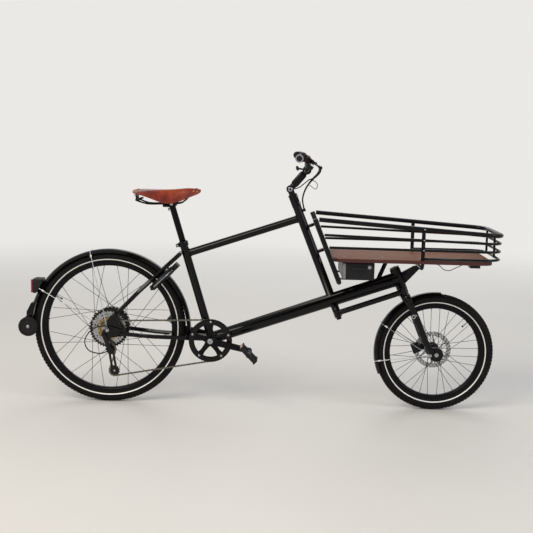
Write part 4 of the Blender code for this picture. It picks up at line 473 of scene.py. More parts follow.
def ramp(material: Material, factor: Socket, stops: Sequence[tuple[float, str]]) -> Socket:
    """Turns a pattern into colours, with one sRGB hex colour at each stop."""
    node = add_node(material, "ValToRGB", {"Fac": factor})
    elements = node.color_ramp.elements
    elements[0].position, elements[1].position = stops[0][0], stops[-1][0]
    elements[0].color, elements[1].color = linear(stops[0][1]), linear(stops[-1][1])
    for position, code in stops[1:-1]:
        elements.new(position).color = linear(code)
    return node.outputs["Color"]


def spread(material: Material, factor: Socket, low: float, high: float) -> Socket:
    """Spreads the middle of a noise over a range of values."""
    limits = {"Value": factor, "From Min": 0.3, "From Max": 0.7, "To Min": low, "To Max": high}
    return add_node(material, "MapRange", limits).outputs["Result"]


def noise(material: Material, place: Socket, size: float, detail: float = 4.0) -> Socket:
    """Makes a noise whose patches have about the given size."""
    inputs = {"Vector": place, "Scale": 1.0 / size, "Detail": detail, "Roughness": 0.6}
    return add_node(material, "TexNoise", inputs).outputs["Fac"]


def cells(material: Material, place: Socket, size: float) -> Socket:
    """Makes a pattern of cells of about the given size, dark in their middles."""
    return add_node(material, "TexVoronoi", {"Vector": place, "Scale": 1.0 / size}).outputs["Distance"]


def bands(material: Material, place: Socket, pitch: float, direction: str, waver: float = 0.0) -> Socket:
    """Makes straight bands across a direction, or rings round it, with the given pitch."""
    kind = "RINGS" if direction.startswith("ROUND") else "BANDS"
    side = {f"{kind.lower()}_direction": direction[-1]}
    inputs = {
        "Vector": place, "Scale": pi / 10.0 / pitch, "Distortion": waver, "Detail": 2.0, "Detail Scale": 1.5
    }
    return add_node(material, "TexWave", inputs, wave_type=kind, **side).outputs["Fac"]


MADE: dict[str, Material] = {}


@dataclass(frozen=True)
class Finish:
    """A surface finish. Two close colours wander over it in patches, and a fine relief breaks its gloss."""

    name: str
    colour: str
    tint: str
    roughness: float = 0.4
    wander: float = 0.05
    metallic: float = 0.0
    coat: float = 0.0
    patch: float = 12 * MM
    relief: float = 0.05 * MM
    relief_size: float = 0.8 * MM
    centre: tuple[float, float, float] = (0.0, 0.0, 0.0)
    shine: float = 0.5

    def material(self) -> Material:
        """Returns the finish's material, which is made at its first use."""
        if self.name not in MADE:
            material = bpy.data.materials.new(self.name)
            material.use_nodes = True
            material.node_tree.nodes.clear()
            found = add_node(material, "TexCoord", {}).outputs["Object"]
            shift = {"Vector": found, "Location": tuple(-value for value in self.centre)}
            place = add_node(material, "Mapping", shift).outputs["Vector"]
            surface = add_node(material, "BsdfPrincipled", self.surface(material, place))
            add_node(material, "OutputMaterial", {"Surface": surface.outputs["BSDF"]})
            MADE[self.name] = material
        return MADE[self.name]

    def height(self, material: Material, place: Socket) -> Socket:
        """Returns the height of the surface's fine relief."""
        return noise(material, place, self.relief_size, 3.0)

    def shade(self, material: Material, place: Socket) -> Socket:
        """Returns the surface's colour."""
        return ramp(material, noise(material, place, self.patch), [(0.32, self.colour), (0.68, self.tint)])

    def surface(self, material: Material, place: Socket) -> dict[str, object]:
        """Returns the inputs of the surface's shader."""
        height = {"Height": self.height(material, place), "Strength": 0.6, "Distance": self.relief}
        gloss = noise(material, place, self.patch * 0.4, 6.0)
        return {
            "Base Color": self.shade(material, place),
            "Roughness": spread(
                material, gloss, self.roughness - self.wander, self.roughness + self.wander
            ),
            "Metallic": self.metallic, "Specular IOR Level": self.shine, "Coat Weight": self.coat,
            "Coat Roughness": 0.06, "Normal": add_node(material, "Bump", height).outputs["Normal"]
        }


class Turned(Finish):
    """Metal with the fine rings that a lathe or a brake pad leaves round the wheel's axle."""

    def height(self, material: Material, place: Socket) -> Socket:
        return bands(material, place, self.relief_size, "ROUND_Y", 1.5)


class Beaded(Finish):
    """A skin of small cells: glass beads that throw light back, or the pores of leather."""

    def height(self, material: Material, place: Socket) -> Socket:
        return cells(material, place, self.relief_size)


class Leather(Beaded):
    """Thick polished leather: pores in its surface, darker where its dye has pooled."""

    middle_dye = "#741f08"

    def shade(self, material: Material, place: Socket) -> Socket:
        stops = [(0.25, self.colour), (0.5, self.middle_dye), (0.75, self.tint)]
        return ramp(material, noise(material, place, self.patch, 6.0), stops)


class Grained(Finish):
    """A wood face under film: long, wavering grain along the deck."""

    def shade(self, material: Material, place: Socket) -> Socket:
        return ramp(
            material, bands(material, place, self.patch, "Y", 6.0), [(0.1, self.colour), (0.9, self.tint)]
        )


class Layered(Finish):
    """The edge of plywood: thin layers that lie one on another."""

    def shade(self, material: Material, place: Socket) -> Socket:
        return ramp(
            material, bands(material, place, self.patch, "Z", 0.6), [(0.3, self.colour), (0.7, self.tint)]
        )


class Ribbed(Finish):
    """A lens with fine upright ribs behind its smooth face."""

    def height(self, material: Material, place: Socket) -> Socket:
        return bands(material, place, self.relief_size, "Y")


# Deep black paint under clear lacquer: it keeps long, clean highlights with a slight orange peel
GLOSS_PAINT = Finish(
    "gloss black paint", "#040405", "#08080a", 0.2, 0.04, coat=0.18, shine=0.14, relief=0.02 * MM,
    relief_size=3 * MM
)
# Powder coat on rails and guards: soft highlights, broken by its fine pebbled skin
SATIN_PAINT = Finish(
    "satin black powder coat", "#08080a", "#0f0f12", 0.34, 0.06, coat=0.15, shine=0.2, relief=0.06 * MM
)
# Injection-moulded plastic: grey haze in its black, with a spark-eroded grain
PLASTIC = Finish(
    "moulded black plastic", "#0d0d0e", "#151517", 0.5, 0.08, shine=0.3, relief=0.08 * MM,
    relief_size=0.5 * MM
)
# Grip and hose rubber: nearly no shine, dusty in its hollows
RUBBER = Finish(
    "soft black rubber", "#0e0d0c", "#161513", 0.72, 0.08, shine=0.25, relief=0.12 * MM,
    relief_size=0.6 * MM
)
# Tyre rubber: matt, nearly black, with a warm trace of road dust
TYRE_RUBBER = Finish(
    "tyre rubber", "#080707", "#100f0e", 0.74, 0.08, shine=0.18, relief=0.15 * MM, relief_size=1.2 * MM,
    patch=30 * MM
)
# Glass-bead band on the tyre walls: nearly white, a clear ring against the rubber from every side
REFLECTIVE = Beaded(
    "reflective band", "#dcdcd8", "#eeeeea", 0.35, 0.06, 0.1, relief=0.06 * MM, relief_size=0.5 * MM
)
# Zinc-plated and stainless small parts: bright, with handling marks
STEEL = Finish("bright steel", "#8f9194", "#b7b9bb", 0.26, 0.09, 1.0, relief=0.02 * MM, patch=5 * MM)
# Dark phosphated steel of chainring and cogs: brown-black with worn edges
DARK_STEEL = Finish(
    "phosphated dark steel", "#26241f", "#3b3731", 0.36, 0.1, 1.0, relief=0.04 * MM, patch=6 * MM
)
# Oiled chain steel: grey-bronze under a film of oil
CHAIN_STEEL = Finish("oiled chain steel", "#55524b", "#7d786c", 0.32, 0.08, 1.0, coat=0.3, patch=4 * MM)
# Gold-passivated small cogs: warm yellow metal
GOLD_STEEL = Turned(
    "gold passivated steel", "#8d7440", "#b39a5e", 0.3, 0.06, 1.0, relief=0.02 * MM, relief_size=0.9 * MM,
    centre=tuple(REAR_AXLE)
)
# Machined front rotor: bright rings left by the pads, which pull the light round the disc
FRONT_ROTOR_STEEL = Turned(
    "front rotor steel", "#7d8083", "#a7aaad", 0.28, 0.06, 1.0, relief=0.03 * MM, relief_size=0.9 * MM,
    centre=tuple(FRONT_AXLE)
)
# The same steel, with its rings round the rear axle
REAR_ROTOR_STEEL = Turned(
    "rear rotor steel", "#7d8083", "#a7aaad", 0.28, 0.06, 1.0, relief=0.03 * MM, relief_size=0.9 * MM,
    centre=tuple(REAR_AXLE)
)
# Anodised bar, post and hub metal: black with a silky sheen
ANODISED = Finish(
    "black anodised aluminium", "#0b0b0d", "#151518", 0.3, 0.06, 0.5, shine=0.2, relief=0.03 * MM,
    patch=8 * MM
)
# Bare cast and polished aluminium: bright grey with softer edges than steel
ALUMINIUM = Finish(
    "polished aluminium", "#9a9c9f", "#c3c5c7", 0.24, 0.08, 1.0, relief=0.02 * MM, patch=7 * MM
)
# Red anodised collar of the grips: the one strong colour on the bar
RED_ANODISED = Finish("red anodised aluminium", "#6e1210", "#92231c", 0.3, 0.06, 0.8, patch=5 * MM)
# Grey end strip of the battery: a dull band that ends the black case
GREY_PLASTIC = Finish(
    "grey moulded plastic", "#6f7073", "#85868a", 0.45, 0.08, relief=0.08 * MM, relief_size=0.5 * MM
)
# Grey sheath of thin wire: shows the loop against the black tubes
GREY_WIRE = Finish("grey wire sheath", "#77787a", "#8d8e90", 0.5, 0.08, patch=4 * MM)
# Saddle leather: waxed, chestnut where it is worn, a deep dark red where the dye has pooled
LEATHER = Leather(
    "waxed saddle leather", "#4a0d03", "#9c3f14", 0.32, 0.05, coat=0.25, shine=0.3, patch=45 * MM,
    relief=0.02 * MM, relief_size=1.4 * MM
)
# Copper-coloured rivets: warm points of light along the saddle's edge
COPPER = Finish("copper rivets", "#8a5233", "#b87a54", 0.3, 0.08, 1.0, patch=2 * MM)
# Phenolic film on the deck's face: brown with long grain showing through
DECK_FILM = Grained(
    "brown deck film", "#5c3016", "#87532e", 0.5, 0.07, shine=0.1, patch=9 * MM, relief=0.06 * MM
)
# The deck's cut edge: dark red stain over birch layers
DECK_EDGE = Layered(
    "stained plywood edge", "#2c0a07", "#4d150e", 0.5, 0.08, patch=1.3 * MM, relief=0.1 * MM
)
# Clear red rear lens: deep red, lit by the ribs behind its face
RED_LENS = Ribbed(
    "red lens", "#7a0a0c", "#a31214", 0.14, 0.04, coat=1.0, patch=20 * MM, relief=0.3 * MM,
    relief_size=2.2 * MM
)
# Milky clear plastic of the lamp glass and the stay beads: pale, with fine prisms
CLEAR = Ribbed(
    "clear prism plastic", "#c9cac4", "#e2e2dc", 0.2, 0.05, coat=0.8, patch=8 * MM, relief=0.2 * MM,
    relief_size=1.5 * MM
)
# Amber prism reflectors of the pedals: small warm lights low on the bike
AMBER = Ribbed(
    "amber reflector", "#b0650f", "#d9912c", 0.22, 0.05, coat=0.8, patch=6 * MM, relief=0.2 * MM,
    relief_size=1.5 * MM
)


def dress(
    made: Piece | Iterable[Piece], name: str, finish: Finish, body: Body | None, slot: Slot, *nodes: str,
    smooth: float = 35.0
) -> Piece:
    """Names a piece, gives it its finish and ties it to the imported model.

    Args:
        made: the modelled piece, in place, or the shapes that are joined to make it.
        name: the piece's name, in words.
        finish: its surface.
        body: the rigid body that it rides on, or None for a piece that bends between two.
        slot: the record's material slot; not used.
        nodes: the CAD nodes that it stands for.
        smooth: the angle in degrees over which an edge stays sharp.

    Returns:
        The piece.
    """
    piece = made if isinstance(made, Piece) else joined(*made)
    piece.name = name.replace(" ", "_")
    piece.data.name = piece.name
    piece.data.materials.clear()
    piece.data.materials.append(finish.material())
    select_only(piece)
    bpy.ops.object.shade_smooth_by_angle(angle=radians(smooth))
    if body is not None:
        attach(piece, body.value)
    if nodes:
        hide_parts(*nodes)
    LOG.info("%s: %d faces on %s", name, len(piece.data.polygons), body.value if body else "two bodies")
    return piece


def dress_cad(
    node: str, finish: Finish, body: Body, slot: Slot, ease: float = 0.0, segments: int = 2,
    smooth: float = 40.0, name: str = "", extra: Iterable[Piece] = ()
) -> Piece:
    """Dresses a CAD node's own shape.

    Args:
        node: the CAD node.
        finish: its surface.
        body: the rigid body that it rides on.
        slot: the record's material slot.
        ease: the width of its eased edges.
        segments: the number of steps across an eased edge.
        smooth: the angle in degrees over which an edge stays sharp.
        name: the piece's name, in words, if it isn't the node's.
        extra: further shapes that are joined to it.

    Returns:
        The piece.
    """
    shapes = [from_cad(node, ease, segments), *extra]
    return dress(shapes, name or node.replace("_", " "), finish, body, slot, node, smooth=smooth)


@dataclass(frozen=True)
class PhotoCamera:
    """The camera that took the picture, as read from the wheels and the rails."""

    place: tuple[float, float, float] = (0.0795, -4.378, 1.177)
    yaw: float = radians(-0.57)
    pitch: float = radians(7.44)
    roll: float = radians(1.39)
    focal_px: float = 1031.0
    frame_px: float = 533.0
    sensor: float = 36.0

    def build(self) -> Piece:
        """Adds the camera to the scene."""
        data = bpy.data.cameras.new("photo camera")
        data.sensor_width = self.sensor
        data.lens = self.focal_px * self.sensor / self.frame_px
        level = Vector((cos(self.yaw), -sin(self.yaw), 0.0))
        ahead = cos(self.pitch) * UP.cross(level) - sin(self.pitch) * UP
        over = level.cross(ahead)
        right = cos(self.roll) * level + sin(self.roll) * over
        top = cos(self.roll) * over - sin(self.roll) * level
        camera = bpy.data.objects.new("photo camera", data)
        turn = Matrix((right, top, -ahead)).transposed().to_4x4()
        camera.matrix_world = Matrix.Translation(self.place) @ turn
        bpy.context.scene.collection.objects.link(camera)
        bpy.context.scene.camera = camera
        return camera


@dataclass(frozen=True)
class Studio:
    """A pale studio: a wide floor, soft boxes and an even white surround."""

    floor_colour: str = "#d6d4cf"
    floor_tint: str = "#dad8d3"
    surround: str = "#ebe9e5"
    fill_colour: str = "#f4f4f6"
    fill: float = 0.62
    floor_radius: float = 12.0
    fade: tuple[float, float] = (2.2, 7.0)
    aim: Vector = field(default_factory=lambda: 0.5 * UP)
    lamps: tuple[tuple[str, tuple[float, float, float], float, float, str], ...] = (
        ("key softbox", (-2.6, -3.6, 4.2), 3.0, 185.0, "#fff4e6"),
        ("right softbox", (3.8, -2.4, 3.0), 2.4, 48.0, "#eef3ff"),
        ("back softbox", (0.4, 4.2, 3.4), 3.2, 45.0, "#ffffff")
    )

    def build(self) -> None:
        """Adds the floor, the lights and the surround."""
        bpy.ops.object.select_all(action="DESELECT")
        bpy.ops.mesh.primitive_circle_add(vertices=96, radius=self.floor_radius, fill_type="NGON")
        floor = bpy.context.view_layer.objects.active
        floor.name = "studio floor"
        floor.data.materials.append(self.floor_paint())
        for lamp in self.lamps:
            self.softbox(*lamp)
        self.surround_light()
        bpy.context.scene.view_settings.view_transform = "Standard"

    def floor_paint(self) -> Material:
        """The floor's pale paint, which gives way to the surround some metres out."""
        material = bpy.data.materials.new("studio floor paint")
        material.use_nodes = True
        tree = material.node_tree
        tree.nodes.clear()
        found = add_node(material, "TexCoord", {}).outputs["Object"]
        shade = ramp(
            material, noise(material, found, 0.9), [(0.2, self.floor_colour), (0.8, self.floor_tint)]
        )
        painted = add_node(material, "BsdfPrincipled", {"Base Color": shade, "Roughness": 0.6})
        length = add_node(material, "VectorMath", {0: found}, operation="LENGTH").outputs["Value"]
        limits = {"Value": length, "From Min": self.fade[0], "From Max": self.fade[1]}
        share = add_node(material, "MapRange", limits, interpolation_type="SMOOTHSTEP").outputs["Result"]
        clear = add_node(material, "BsdfTransparent", {})
        inputs = {0: share, 1: painted.outputs["BSDF"], 2: clear.outputs["BSDF"]}
        both = add_node(material, "MixShader", inputs)
        add_node(material, "OutputMaterial", {"Surface": both.outputs["Shader"]})
        return material

    def softbox(self, name: str, place: Sequence[float], size: float, power: float, colour: str) -> None:
        """Adds a square lamp that faces the bike's middle."""
        data = bpy.data.lights.new(name, "AREA")
        data.size = size
        data.energy = power
        data.color = linear(colour)[:3]
        lamp = bpy.data.objects.new(name, data)
        lamp.location = place
        lamp.rotation_euler = (self.aim - Vector(place)).to_track_quat("-Z", "Y").to_euler()
        bpy.context.scene.collection.objects.link(lamp)

    def surround_light(self) -> None:
        """Lights the scene evenly from all round, and shows the camera a plain pale surround."""
        world = bpy.data.worlds.new("studio surround")
        bpy.context.scene.world = world
        world.use_nodes = True
        world.node_tree.nodes.clear()
        lit = add_node(world, "Background", {"Color": linear(self.fill_colour), "Strength": self.fill})
        seen = add_node(world, "Background", {"Color": linear(self.surround), "Strength": 1.0})
        path = add_node(world, "LightPath", {})
        inputs = {
            0: path.outputs["Is Camera Ray"], 1: lit.outputs["Background"], 2: seen.outputs["Background"]
        }
        both = add_node(world, "MixShader", inputs)
        add_node(world, "OutputWorld", {"Surface": both.outputs["Shader"]})


@dataclass
class Wheel:
    """A spoked wheel: tyre with its tread, rim, spokes with nipples, and valve."""

    name: str
    body: Body
    centre: Vector
    tyre_radius: float
    tyre_width: float
    bead_radius: float
    flange_radius: float
    flanges: tuple[float, float]
    stripe_radius: float
    tread_blocks: int
    valve_angle: float
    stripe_width: float = 0.0042
    spoke_count: int = 32
    spoke_lean: float = radians(62.0)
    spoke: float = 0.001
    elbow: float = 0.0019
    nipple: float = 0.0019
    nipple_length: float = 0.0095
    rim_width: float = 0.029
    rim_depth: float = 0.013
    tread_height: float = 0.0016
    tread_block: float = 0.0034
    shoulder: float = 0.86
    wall_taper: float = 0.42

    def __post_init__(self) -> None:
        """Works out the tyre's section and the rim's inner radius."""
        self.half = self.tyre_width / 2
        self.middle = (self.bead_radius + self.tyre_radius) / 2
        self.reach = self.tyre_radius - self.middle - self.tread_height
        self.inner = self.bead_radius - self.rim_depth

    def build(self) -> None:
        """Models and dresses the wheel."""
        self.tyre()
        self.rim()
        self.spokes()
        self.valve()

    def wall(self, out: float) -> float:
        """The casing's half width at a share of its reach, from the middle out or in."""
        across = sqrt(max(0.0, 1 - min(1.0, abs(out)) ** (2 / self.shoulder)))
        return self.half * (across if out > 0 else 1 - self.wall_taper * acos(across))

    def tyre(self) -> None:
        """The casing, its tread blocks, and the reflective band on each wall."""
        steps, sweep = 16, 1.24 * pi
        casing = []
        for step in range(steps + 1):
            angle = sweep * (step / steps - 0.5)
            out = copysign(abs(cos(angle)) ** self.shoulder, cos(angle))
            casing.append((self.middle + self.reach * out, copysign(self.wall(out), angle)))
        bead = mirrored([(self.bead_radius - 0.003, 0.0105)])
        shape = lathed(casing + bead, self.centre, SIDE, 144)
        name = f"{self.name} tyre casing"
        dress(shape, name, TYRE_RUBBER, self.body, Slot.TYRE, f"{self.name}_tyre", smooth=50)
        self.tread()
        for sign in (-1, 1):
            self.stripe(sign)

    def tread(self) -> None:
        """Rows of small blocks round the tyre: a middle pair and a slanted shoulder pair."""
        turn = tau / self.tread_blocks
        length = turn * self.tyre_radius * 0.72
        # Side, width, drop and lean of the blocks in the middle and on the shoulder
        rows = ((0.0045, 0.0065, 0.0, 0.0275), (0.0135, 0.007, 0.0035, 0.3025))
        shapes = []
        for side, width, drop, lean in rows:
            for sign in (-1, 1):
                radius = self.tyre_radius - drop - 0.0018
                centre = polar(self.centre, radius, turn / 2 if sign > 0 else 0.0, sign * side)
                out = (centre - self.centre - sign * side * SIDE).normalized()
                one = slab(centre, (self.tread_block, width, length), out, 0.0005, 1)
                one.data.transform(turn_about(centre, -sign * lean, SIDE.cross(out)))
                one.data.transform(turn_about(centre, sign * 0.35, out))
                shapes.append(one)
        row = round_copies(joined(*shapes), self.centre, self.tread_blocks)
        dress(row, f"{self.name} tyre tread", TYRE_RUBBER, self.body, Slot.TYRE, smooth=30)

    def stripe(self, sign: int) -> None:
        """The pale band on one wall, laid on the casing."""
        edge, skin, root = self.stripe_width / 2, 0.0005, -0.001
        profile = []
        for shift, rise in (
            (-edge, root), (-edge, skin * 0.4), (0.0, skin), (edge, skin * 0.4), (edge, root)
        ):
            radius = self.stripe_radius + shift
            profile.append((radius, sign * (self.wall((radius - self.middle) / self.reach) + rise)))
        side = "right" if sign < 0 else "left"
        band = lathed(profile, self.centre, SIDE, 144)
        dress(band, f"{self.name} {side} reflective band", REFLECTIVE, self.body, Slot.TYRE, smooth=50)

    def rim(self) -> None:
        """The double-walled rim with hooked edges, and eyelets for the spokes."""
        half, inner, bead = self.rim_width / 2, self.inner, self.bead_radius
        outer = bead + 0.0035
        side = [
            (inner, 0.006), (inner + 0.0022, 0.0105), (inner + 0.0065, half - 0.0006), (bead - 0.002, half),
            (outer, half), (outer, half - 0.0022), (outer - 0.0022, half - 0.0034),
            (bead - 0.0035, half - 0.003), (bead - 0.0052, 0.007)
        ]
        hoop = lathed(mirrored(side), self.centre, SIDE, 128)
        lip = [(0.0012, -0.0004), (0.003, -0.0004), (0.003, 0.0003), (0.0022, 0.0008), (0.0012, 0.0008)]
        eyelet = lathed(lip, polar(self.centre, inner, 0.0), -FORWARD, 12)
        places = []
        for index in range(self.spoke_count):
            aside = Matrix.Translation(copysign(0.0033, self.flange(index)) * SIDE)
            places.append(turn_about(self.centre, -self.angle(index)) @ aside)
        shapes = [hoop, copies(eyelet, places)]
        dress(
            shapes, f"{self.name} rim", ANODISED, self.body, Slot.SATIN_BLACK, f"{self.name}_rim", smooth=40
        )

    def flange(self, index: int) -> float:
        """The side distance of the flange that holds a spoke."""
        return self.flanges[index % 2]

    def angle(self, index: int) -> float:
        """The turn at which a spoke meets the rim."""
        return (index + 0.5) * tau / self.spoke_count

    def spokes(self) -> None:
        """Each spoke with its elbow's head at the flange and its nipple at the rim, laced three cross."""
        wires, nipples = [], []
        head = [(0.0, -0.0006), (self.elbow, -0.0003), (self.elbow, 0.0006), (0.0, 0.0009)]
        for index in range(self.spoke_count):
            flange, angle = self.flange(index), self.angle(index)
            way = 1 if index % 4 < 2 else -1
            inward = copysign(0.0015, flange) * way
            root = polar(self.centre, self.flange_radius, angle + self.spoke_lean * way, flange - inward)
            tip = polar(self.centre, self.inner + 0.003, angle, copysign(0.004, flange) - inward)
            along = (tip - root).normalized()
            wires.append(bar(root, tip, self.spoke, 8))
            wires.append(lathed(head, root - copysign(0.00102, inward) * SIDE, SIDE, 8))
            seat = tip - 0.003 * along
            nipples.append(bar(seat - self.nipple_length * along, seat, self.nipple, 8, 0.0003))
        dress(wires, f"{self.name} spokes", ANODISED, self.body, Slot.SATIN_BLACK, smooth=40)
        dress(nipples, f"{self.name} spoke nipples", STEEL, self.body, Slot.STEEL, smooth=40)

    def valve(self) -> None:
        """The valve stem with its cap and its locknut."""
        foot, towards = polar(self.centre, self.inner, 0.0), -FORWARD
        body = [
            (0.0, -0.002), (0.0031, -0.002), (0.0031, 0.016), (0.0026, 0.017), (0.0026, 0.02), (0.0, 0.02)
        ]
        top = [
            (0.0, 0.0205), (0.0036, 0.0205), (0.0036, 0.027), (0.003, 0.029), (0.0018, 0.0305),
            (0.0, 0.0305)
        ]
        stem, cap = lathed(body, foot, towards, 16), lathed(top, foot, towards, 12)
        nut = bar(foot, foot + 0.0025 * towards, 0.0055, 6, 0.0004)
        for shape in (stem, nut, cap):
            shape.data.transform(turn_about(self.centre, radians(self.valve_angle)))
        dress([stem, nut], f"{self.name} valve", STEEL, self.body, Slot.STEEL, smooth=30)
        dress(cap, f"{self.name} valve cap", PLASTIC, self.body, Slot.BLACK_PLASTIC, smooth=30)


@dataclass
class Rotor:
    """A disc brake rotor: a drilled band, slanting arms and a bolted middle."""

    name: str
    centre: Vector
    middle: float
    finish: Finish
    hole: float
    body: Body
    radius: float = 0.08
    band: float = 0.06
    carrier: float = 0.0245
    wall: float = 0.0019
    vent: float = 0.0021
    vent_rows: tuple[float, ...] = (0.064, 0.07, 0.0758)
    vents: int = 30
    arms: int = 6

    def build(self) -> None:
        """Models and dresses the rotor."""
        low, high = self.middle - self.wall / 2, self.middle + self.wall / 2
        band = ring(self.centre, self.band, self.radius - 0.0003, low, high, steps=120)
        holes = []
        for row, radius in enumerate(self.vent_rows):
            place = polar(self.centre, radius, row * tau / 3 / self.vents)
            holes.append(bar(place + (low - 0.002) * SIDE, place + (high + 0.002) * SIDE, self.vent, 10))
        drilled = cut_by(band, round_copies(joined(*holes), self.centre, self.vents))
        inner = polar(self.centre, self.carrier - 0.003, 0.0, self.middle)
        outer = polar(self.centre, self.band + 0.0012, 0.55, self.middle)
        arm = slab(
            (inner + outer) / 2, ((outer - inner).length, self.wall * 0.96, 0.0058), outer - inner, 0.0004,
            1
        )
        carrier = ring(self.centre, self.hole, self.carrier, low, high, steps=72)
        bolt = button_bolt(polar(self.centre, self.carrier - 0.004, 0.3, high), SIDE, 0.0028, 0.0018)
        shapes = [drilled, round_copies(arm, self.centre, self.arms), carrier]
        name = f"{self.name} rotor"
        dress(shapes, name, self.finish, self.body, Slot.STEEL, f"{self.name}_rotor", smooth=30)
        dress(round_copies(bolt, self.centre, self.arms), f"{name} bolts", STEEL, self.body, Slot.STEEL)


@dataclass
class RearHub:
    """The motor's shell with its cooling ribs and cover bolts, and the rear rotor."""

    centre: Vector = field(default_factory=lambda: REAR_AXLE.copy())
    ribs: int = 60
    cover_bolts: int = 9
    bolt_circle: float = 0.058
    rotor_side: float = 0.052

    def build(self) -> None:
        """Models and dresses the hub."""
        profile = [
            (0.0075, -0.0245), (0.03, -0.0245), (0.034, -0.0225), (0.062, -0.0215), (0.0665, -0.02),
            (0.078, -0.0205), (0.0785, -0.019), (0.0785, -0.0175), (0.072, -0.017), (0.0712, -0.01),
            (0.0712, 0.02), (0.072, 0.028), (0.0785, 0.0285), (0.0785, 0.0315), (0.072, 0.0322),
            (0.068, 0.0345), (0.032, 0.0358), (0.028, 0.044), (0.0075, 0.0445)
        ]
        shell = lathed(profile, self.centre, SIDE, 96)
        low, high = Vector((0.0705, -0.01, -0.0009)), Vector((0.0726, 0.024, 0.0009))
        rib = block(self.centre + low, self.centre + high, 0.0003, 1)
        bolt = button_bolt(self.centre + Vector((self.bolt_circle, 0.0347, 0.0)), SIDE, 0.0035, 0.0016)
        shapes = [shell, round_copies(rib, self.centre, self.ribs)]
        dress(
            shapes, "hub motor shell", ANODISED, Body.REAR_WHEEL, Slot.SATIN_BLACK, "hub_motor", smooth=30
        )
        bolts = round_copies(bolt, self.centre, self.cover_bolts)
        dress(bolts, "hub motor cover bolts", STEEL, Body.REAR_WHEEL, Slot.STEEL)
        Rotor("rear", self.centre, self.rotor_side, REAR_ROTOR_STEEL, 0.0235, Body.REAR_WHEEL).build()


@dataclass
class FrontHub:
    """The front hub's barrel with flanges and rotor mount, the rotor, and the fixed axle with its nuts."""

    centre: Vector = field(default_factory=lambda: FRONT_AXLE.copy())
    rotor_side: float = 0.0445

    def build(self) -> None:
        """Models and dresses the hub and axle."""
        right_end = [
            (0.0056, -0.0494), (0.01, -0.0494), (0.0112, -0.045), (0.0134, -0.044), (0.014, -0.036)
        ]
        flange = [(0.0272, -0.033), (0.0272, -0.0268), (0.0262, -0.026), (0.018, -0.0235), (0.0162, -0.015)]
        both = mirrored([*flange, (0.0158, 0.0)])
        rotor_mount = [(0.0215, 0.0345), (0.0215, 0.0434), (0.0134, 0.0436), (0.0134, 0.0454)]
        left_end = [(0.01, 0.046), (0.01, 0.0494), (0.0056, 0.0494)]
        barrel = lathed(
            [*right_end, (0.0268, -0.0338), *both, *rotor_mount, *left_end], self.centre, SIDE, 64
        )
        dress(
            barrel, "front hub barrel", ANODISED, Body.FRONT_WHEEL, Slot.SATIN_BLACK, "front_hub", smooth=30
        )
        Rotor("front", self.centre, self.rotor_side, FRONT_ROTOR_STEEL, 0.0145, Body.FRONT_WHEEL).build()
        dress_cad("front_axle", STEEL, Body.FORK, Slot.STEEL, 0.0004, smooth=30, name="front axle and nuts")


CHAIN_SIDE = -0.05
CHAIN_PITCH = 12.7 * MM
CHAINRING_TEETH = 44
PULLEY_TEETH = 11
COG_IN_USE = 17
GUIDE_PULLEY = REAR_AXLE + Vector((0.01, 0.0, -0.0885))
TENSION_PULLEY = REAR_AXLE + Vector((0.02706, 0.0, -0.18145))


def pitch_radius(teeth: int) -> float:
    """Returns the radius of the circle on which the chain's pins lie round a toothed wheel."""
    return CHAIN_PITCH / (2 * sin(pi / teeth))


def toothed(
    centre: Vector, teeth: int, wall: float, side: float, hole: float, tip: float = 0.003,
    root: float = 0.0036
) -> Piece:
    """Makes a toothed ring for the chain, with rounded valleys between its teeth.

    Args:
        centre: a point of its axis.
        teeth: the number of teeth.
        wall: its thickness.
        side: its middle's distance along the axis.
        hole: the radius of its middle hole.
        tip: how far the teeth stand over the chain's pitch circle.
        root: how far the valleys lie under it.

    Returns:
        The ring.
    """
    pitch = pitch_radius(teeth)
    shape = ((0.0, -root), (0.16, -root * 0.8), (0.3, 0.0), (0.42, tip * 0.85), (0.5, tip))
    shape += tuple((1 - share, reach) for share, reach in reversed(shape[1:4]))
    outer = [
        polar(centre, pitch + reach, (tooth + share) * tau / teeth) for tooth in range(teeth)
        for share, reach in shape
    ]
    count = len(outer)
    inner = [polar(centre, hole, index * tau / count) for index in range(count)]
    low, high = (side - wall / 2) * SIDE, (side + wall / 2) * SIDE
    points = [point + shift for shift in (low, high) for edge in (outer, inner) for point in edge]
    faces = []
    for i in range(count):
        j = (i + 1) % count
        faces += [
            (i, j, count + j, count + i), (2 * count + j, 2 * count + i, 3 * count + i, 3 * count + j)
        ]
        faces += [
            (j, i, 2 * count + i, 2 * count + j), (count + i, count + j, 3 * count + j, 3 * count + i)
        ]
    return welded(mesh_object(points, [], faces))


